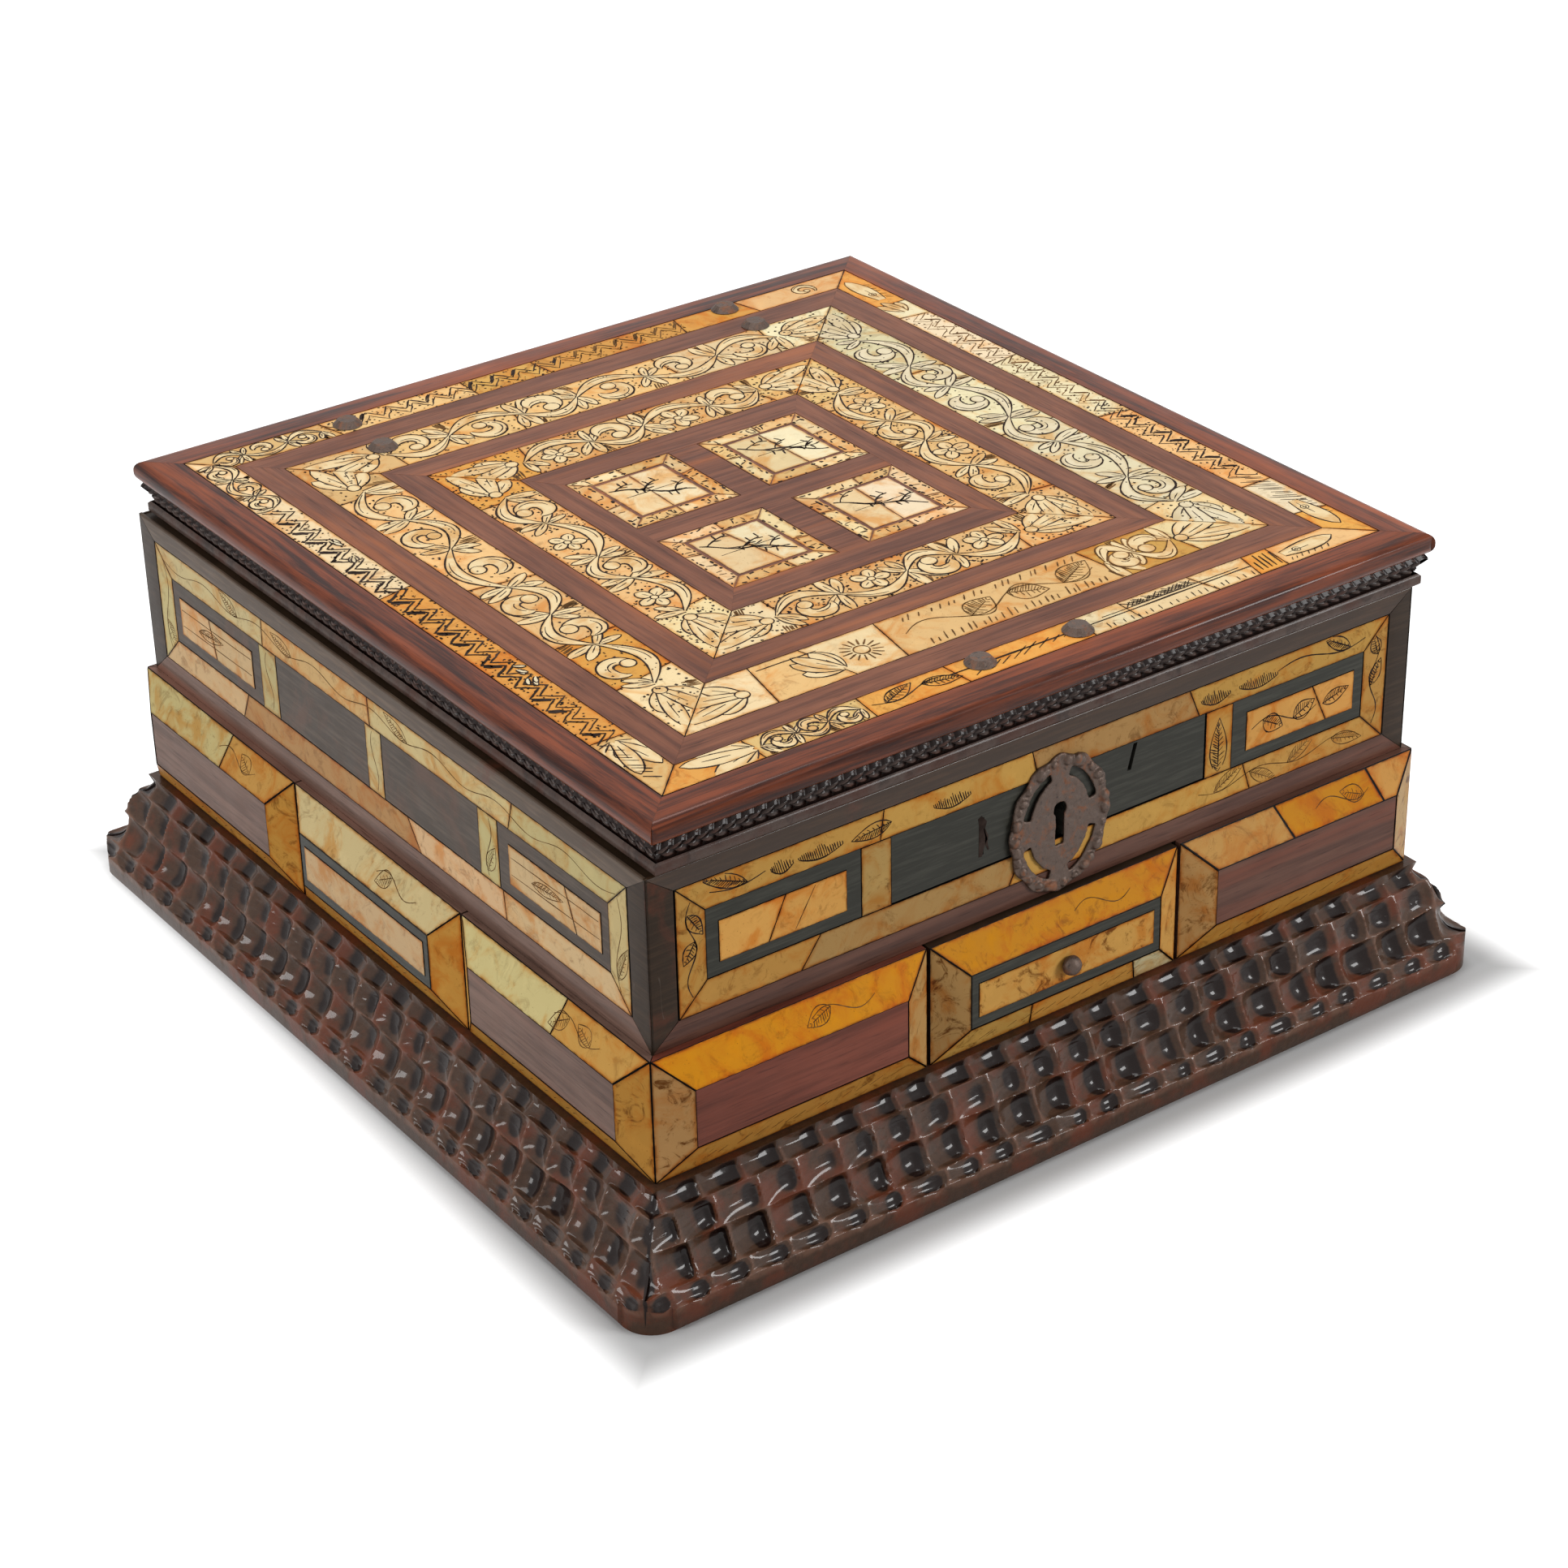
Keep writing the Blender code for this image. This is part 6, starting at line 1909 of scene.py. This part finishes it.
@dataclass
class RaisedBlock:
    """One raised block of the lower tier, faced with bevelled bone strips round a panel."""

    name: str
    side: Side
    first: float
    last: float
    engraving: Engraving
    body: str = "case"
    panel: bool = False
    low: float = 0.0388
    high: float = 0.0818
    width: float = 0.0115
    rise: float = 0.006
    proud: float = 0.0003
    seed: int = 300

    def bed(self) -> Bed:
        """Return the bed at the middle of the block, at the foot of its slopes."""
        plane = 0.1561 if self.side.across else 0.1521
        bed = casket_bed(self.side, plane, (self.low + self.high) / 2)
        return bed.moved((self.first + self.last) / 2)

    def tones(self) -> Sequence[Sequence[Tone]]:
        """Return the tones of the lower, right, upper and left strips; where a lower strip takes the dark stain tone,
        it is partly painted shade under the block's slope.
        """
        if self.side is not Side.FRONT:
            upper = (Tone.LEMON,) if self.panel else (Tone.OCHRE, Tone.LEMON)
            return (Tone.STAIN,), (Tone.STAIN,), upper, (Tone.OCHRE,)
        if self.first > 0:
            return (Tone.STAIN,), (Tone.TAN,), (Tone.AMBER, Tone.GOLD, Tone.OCHRE), (Tone.TAN,)
        if self.body == "drawer":
            return (Tone.OCHRE, Tone.AMBER, Tone.PALE), (Tone.OCHRE,), (Tone.GOLD,), (Tone.TAN,)
        return (Tone.STAIN,), (Tone.TAN,), (Tone.GOLD,), (Tone.TAN,)

    def build(self) -> None:
        """Model and dress the strips and the panel."""
        half = ((self.last - self.first) / 2, (self.high - self.low) / 2)
        slope, run = math.hypot(self.width, self.rise), (self.width, self.width)
        rng = random.Random(self.seed)
        made = []
        for index, bed in enumerate(self.bed().ring(half, self.width, self.rise)):
            length, seed = half[index % 2], self.seed + index
            joints, joint = self.joints(index, length, rng)
            strip = TileStrip(bed, length, slope, run, joints, self.tones()[index], (0.8, 0.9, 0.55, 0.9)[index],
                              seed, 0.5, joint, thick=0.0002, proud=self.proud)
            made.append(strip.build(f"{self.name}_{index}"))
            self.lines(Burin(self.engraving, bed, length, slope, run, self.proud, seed, Ink.BROWN), index)
        Bench.hand_over(Bench.join("facing_" + self.name, made), TILES, self.body, "bone")
        if self.panel:
            self.face(half)

    def joints(self, index: int, length: float, rng: random.Random) -> tuple[Sequence[float], float]:
        """Return the joints of a strip and the half width of their gaps."""
        if self.body == "drawer" and index == 0:
            return (-0.012, 0.03), 0.00025
        if index != 2 or self.panel or self.side is Side.FRONT and self.first < 0:
            return (), 0.0002
        if self.side is Side.FRONT:
            return (length * 0.17, -length * 0.62), 0.00042
        return (rng.uniform(-0.2, 0.2) * length,), 0.0003

    @staticmethod
    def lines(burin: Burin, index: int) -> None:
        """Cut the ornament of one of the block's strips."""
        length, width = burin.half, burin.width
        if index == 2:
            burin.vine(-length + 0.022, -length * 0.1, 0.014, 0.00034, 0.5)
        elif index == 0:
            burin.hatch((-length + 0.014, width * 0.3), (length - 0.02, width * 0.4), 0.6, width * 0.4, 12, 0.00036)

    def face(self, half: Point2) -> None:
        """Model the black frame and the bone tile on the block's face."""
        long, tall = half[0] - self.width - 0.0002, half[1] - self.width - 0.0002
        plate = Bench.plate("face_" + self.name, (-long, -tall, self.rise - 0.0002), (long, tall, self.rise + 0.0003))
        plate.data.transform(self.bed().matrix())
        Bench.hand_over(plate, (SLATE,), self.body, "ebonised_wood")
        tall -= 0.0033
        tones, dirt = ((Tone.OCHRE,), 0.9) if self.body == "drawer" else ((Tone.PINK,), 0.45)
        strip = TileStrip(self.bed().moved(across=-tall, out=self.rise), long - 0.0025, 2 * tall, (0.0, 0.0), (),
                          tones, dirt, self.seed, 0.7, thick=0.0006, proud=0.0005)
        Bench.hand_over(strip.build("tile_" + self.name), TILES, self.body, "bone")


class LowerTier:
    """The raised blocks round the case and the drawer's front."""

    def build(self) -> None:
        """Model every block with its engraving."""
        lines = Engraving()
        for side in Side:
            corner, split = (0.1521, 0.0506) if side.across else (0.1561, 0.05203)
            spans = ((-corner, -split - 0.0004), (-split + 0.0004, split - 0.0004), (split + 0.0004, corner))
            for index, (first, last) in enumerate(spans):
                if side is Side.FRONT and index == 1:
                    continue
                RaisedBlock(f"{side.word()}_block_{index}", side, first, last, lines, panel=index == 1,
                            seed=300 + 40 * side.value + 10 * index).build()
        lines.build("block_engraving", "case")
        drawer = Engraving()
        RaisedBlock("drawer_block", Side.FRONT, -0.0496, 0.0496, drawer, "drawer", True, high=0.0813, seed=500).build()
        drawer.build("drawer_engraving", "drawer")


@dataclass
class Escutcheon:
    """The iron plate round the keyhole, with its lumpy knotted rim."""

    middle: Point2 = (0.0023, 0.1062)
    half: Point2 = (0.0178, 0.0218)
    front: float = 0.1552
    knots: int = 30

    def build(self) -> None:
        """Roughen the solid's shape and set knots round its rim."""
        rng = random.Random(17)
        made = [Bench.copy("escutcheon", "rusty_escutcheon")]
        for index in range(self.knots):
            turn = 2 * math.pi * (index + rng.uniform(-0.3, 0.3)) / self.knots
            size = rng.uniform(0.001, 0.0021)
            Bench.clear()
            bpy.ops.mesh.primitive_ico_sphere_add(subdivisions=2, radius=size)
            knot = bpy.context.active_object
            knot.data.transform(Matrix.Diagonal((1.0, 0.65, rng.uniform(0.8, 1.3), 1.0)))
            knot.data.transform(Matrix.Translation((self.middle[0] + self.half[0] * math.cos(turn), -self.front,
                                                    self.middle[1] + self.half[1] * math.sin(turn))))
            made.append(knot)
        piece = Bench.join("rusty_escutcheon", made)
        Bench.apply(piece, "REMESH", mode="VOXEL", voxel_size=0.00034)
        Bench.roughen(piece, 0.00022, 420.0)
        Bench.apply(piece, "SMOOTH", factor=0.5, iterations=2)
        Bench.smooth(piece, 60.0)
        Bench.hand_over(piece, (IRON,), "case", "iron", "escutcheon")


@dataclass
class Knob:
    """The drawer's small domed knob."""

    place: Point3 = (0.0, -0.1623, 0.06015)
    radius: float = 0.0033
    height: float = 0.005

    def build(self) -> None:
        """Model a hammered dome with a short neck."""
        Bench.clear()
        bpy.ops.mesh.primitive_uv_sphere_add(segments=32, ring_count=20, radius=self.radius)
        piece = Bench.named("domed_knob")
        Bench.cut(piece, (0.0, 0.0, -0.45 * self.radius), (0.0, 0.0, -1.0), True)
        Bench.pick(piece, "polygons", [face.normal.z < -0.9 and len(face.vertices) > 8
                                       for face in piece.data.polygons])
        with Bench.editing(piece, whole=False):
            bpy.ops.mesh.inset(thickness=0.0008)
            bpy.ops.mesh.extrude_region_move(TRANSFORM_OT_translate={"value": (0.0, 0.0, -0.0012)})
        heights = [vertex.co.z for vertex in piece.data.vertices]
        scale = Matrix.Scale(self.height / (max(heights) - min(heights)), 4, Z_WAY)
        piece.data.transform(scale @ Matrix.Translation((0.0, 0.0, -min(heights))))
        Bench.roughen(piece, 0.00012, 300.0)
        piece.data.transform(Matrix.Translation(self.place) @ Matrix.Rotation(math.pi / 2, 4, "X"))
        Bench.smooth(piece, 45.0)
        Bench.hand_over(piece, (IRON,), "drawer", "iron", "drawer_knob")


def dress_solids() -> None:
    """Give each solid that still shows its finish."""
    for name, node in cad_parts.items():
        if name.startswith(("hinge_", "lock_")) or name in ("escutcheon", "lid_staple", "drawer_knob"):
            finish = IRON
        elif name == "lid_board":
            finish = RED
        elif "_block_" in name:
            grain = "X" if name.startswith(("front", "back")) else "Y"
            # The right and left blocks take the purple wood lightened as a painted reflection.
            wood = CRIMSON if name == "front_block_left" else PURPLE if grain == "X" else GREY
            finish = replace(wood, grain=grain)
        elif name == "front_rail":
            finish = SLATE
        elif name.endswith("_board") and name != "bottom_board" or name.startswith(("front_post", "drawer_front")):
            finish = EBONY
        elif name.startswith(("base_", "ripple_")):
            finish = RIPPLE
        elif name.endswith(("_band", "_frame")) or name.startswith("lid_panel"):
            finish = GLUE
        else:
            finish = BARE
        Bench.dress(node, finish)


def main() -> None:
    """Build the casket's looks in order."""
    logging.basicConfig(level=logging.INFO, format="%(name)s %(message)s")
    Studio().build()
    dress_solids()
    Base().build()
    LidEdge().build()
    LidTop().build()
    walls = Engraving()
    for side in Side:
        UpperFace(side, walls).build()
    walls.build("wall_engraving", "case")
    LowerTier().build()
    Escutcheon().build()
    Knob().build()


if __name__ == "__main__":
    main()
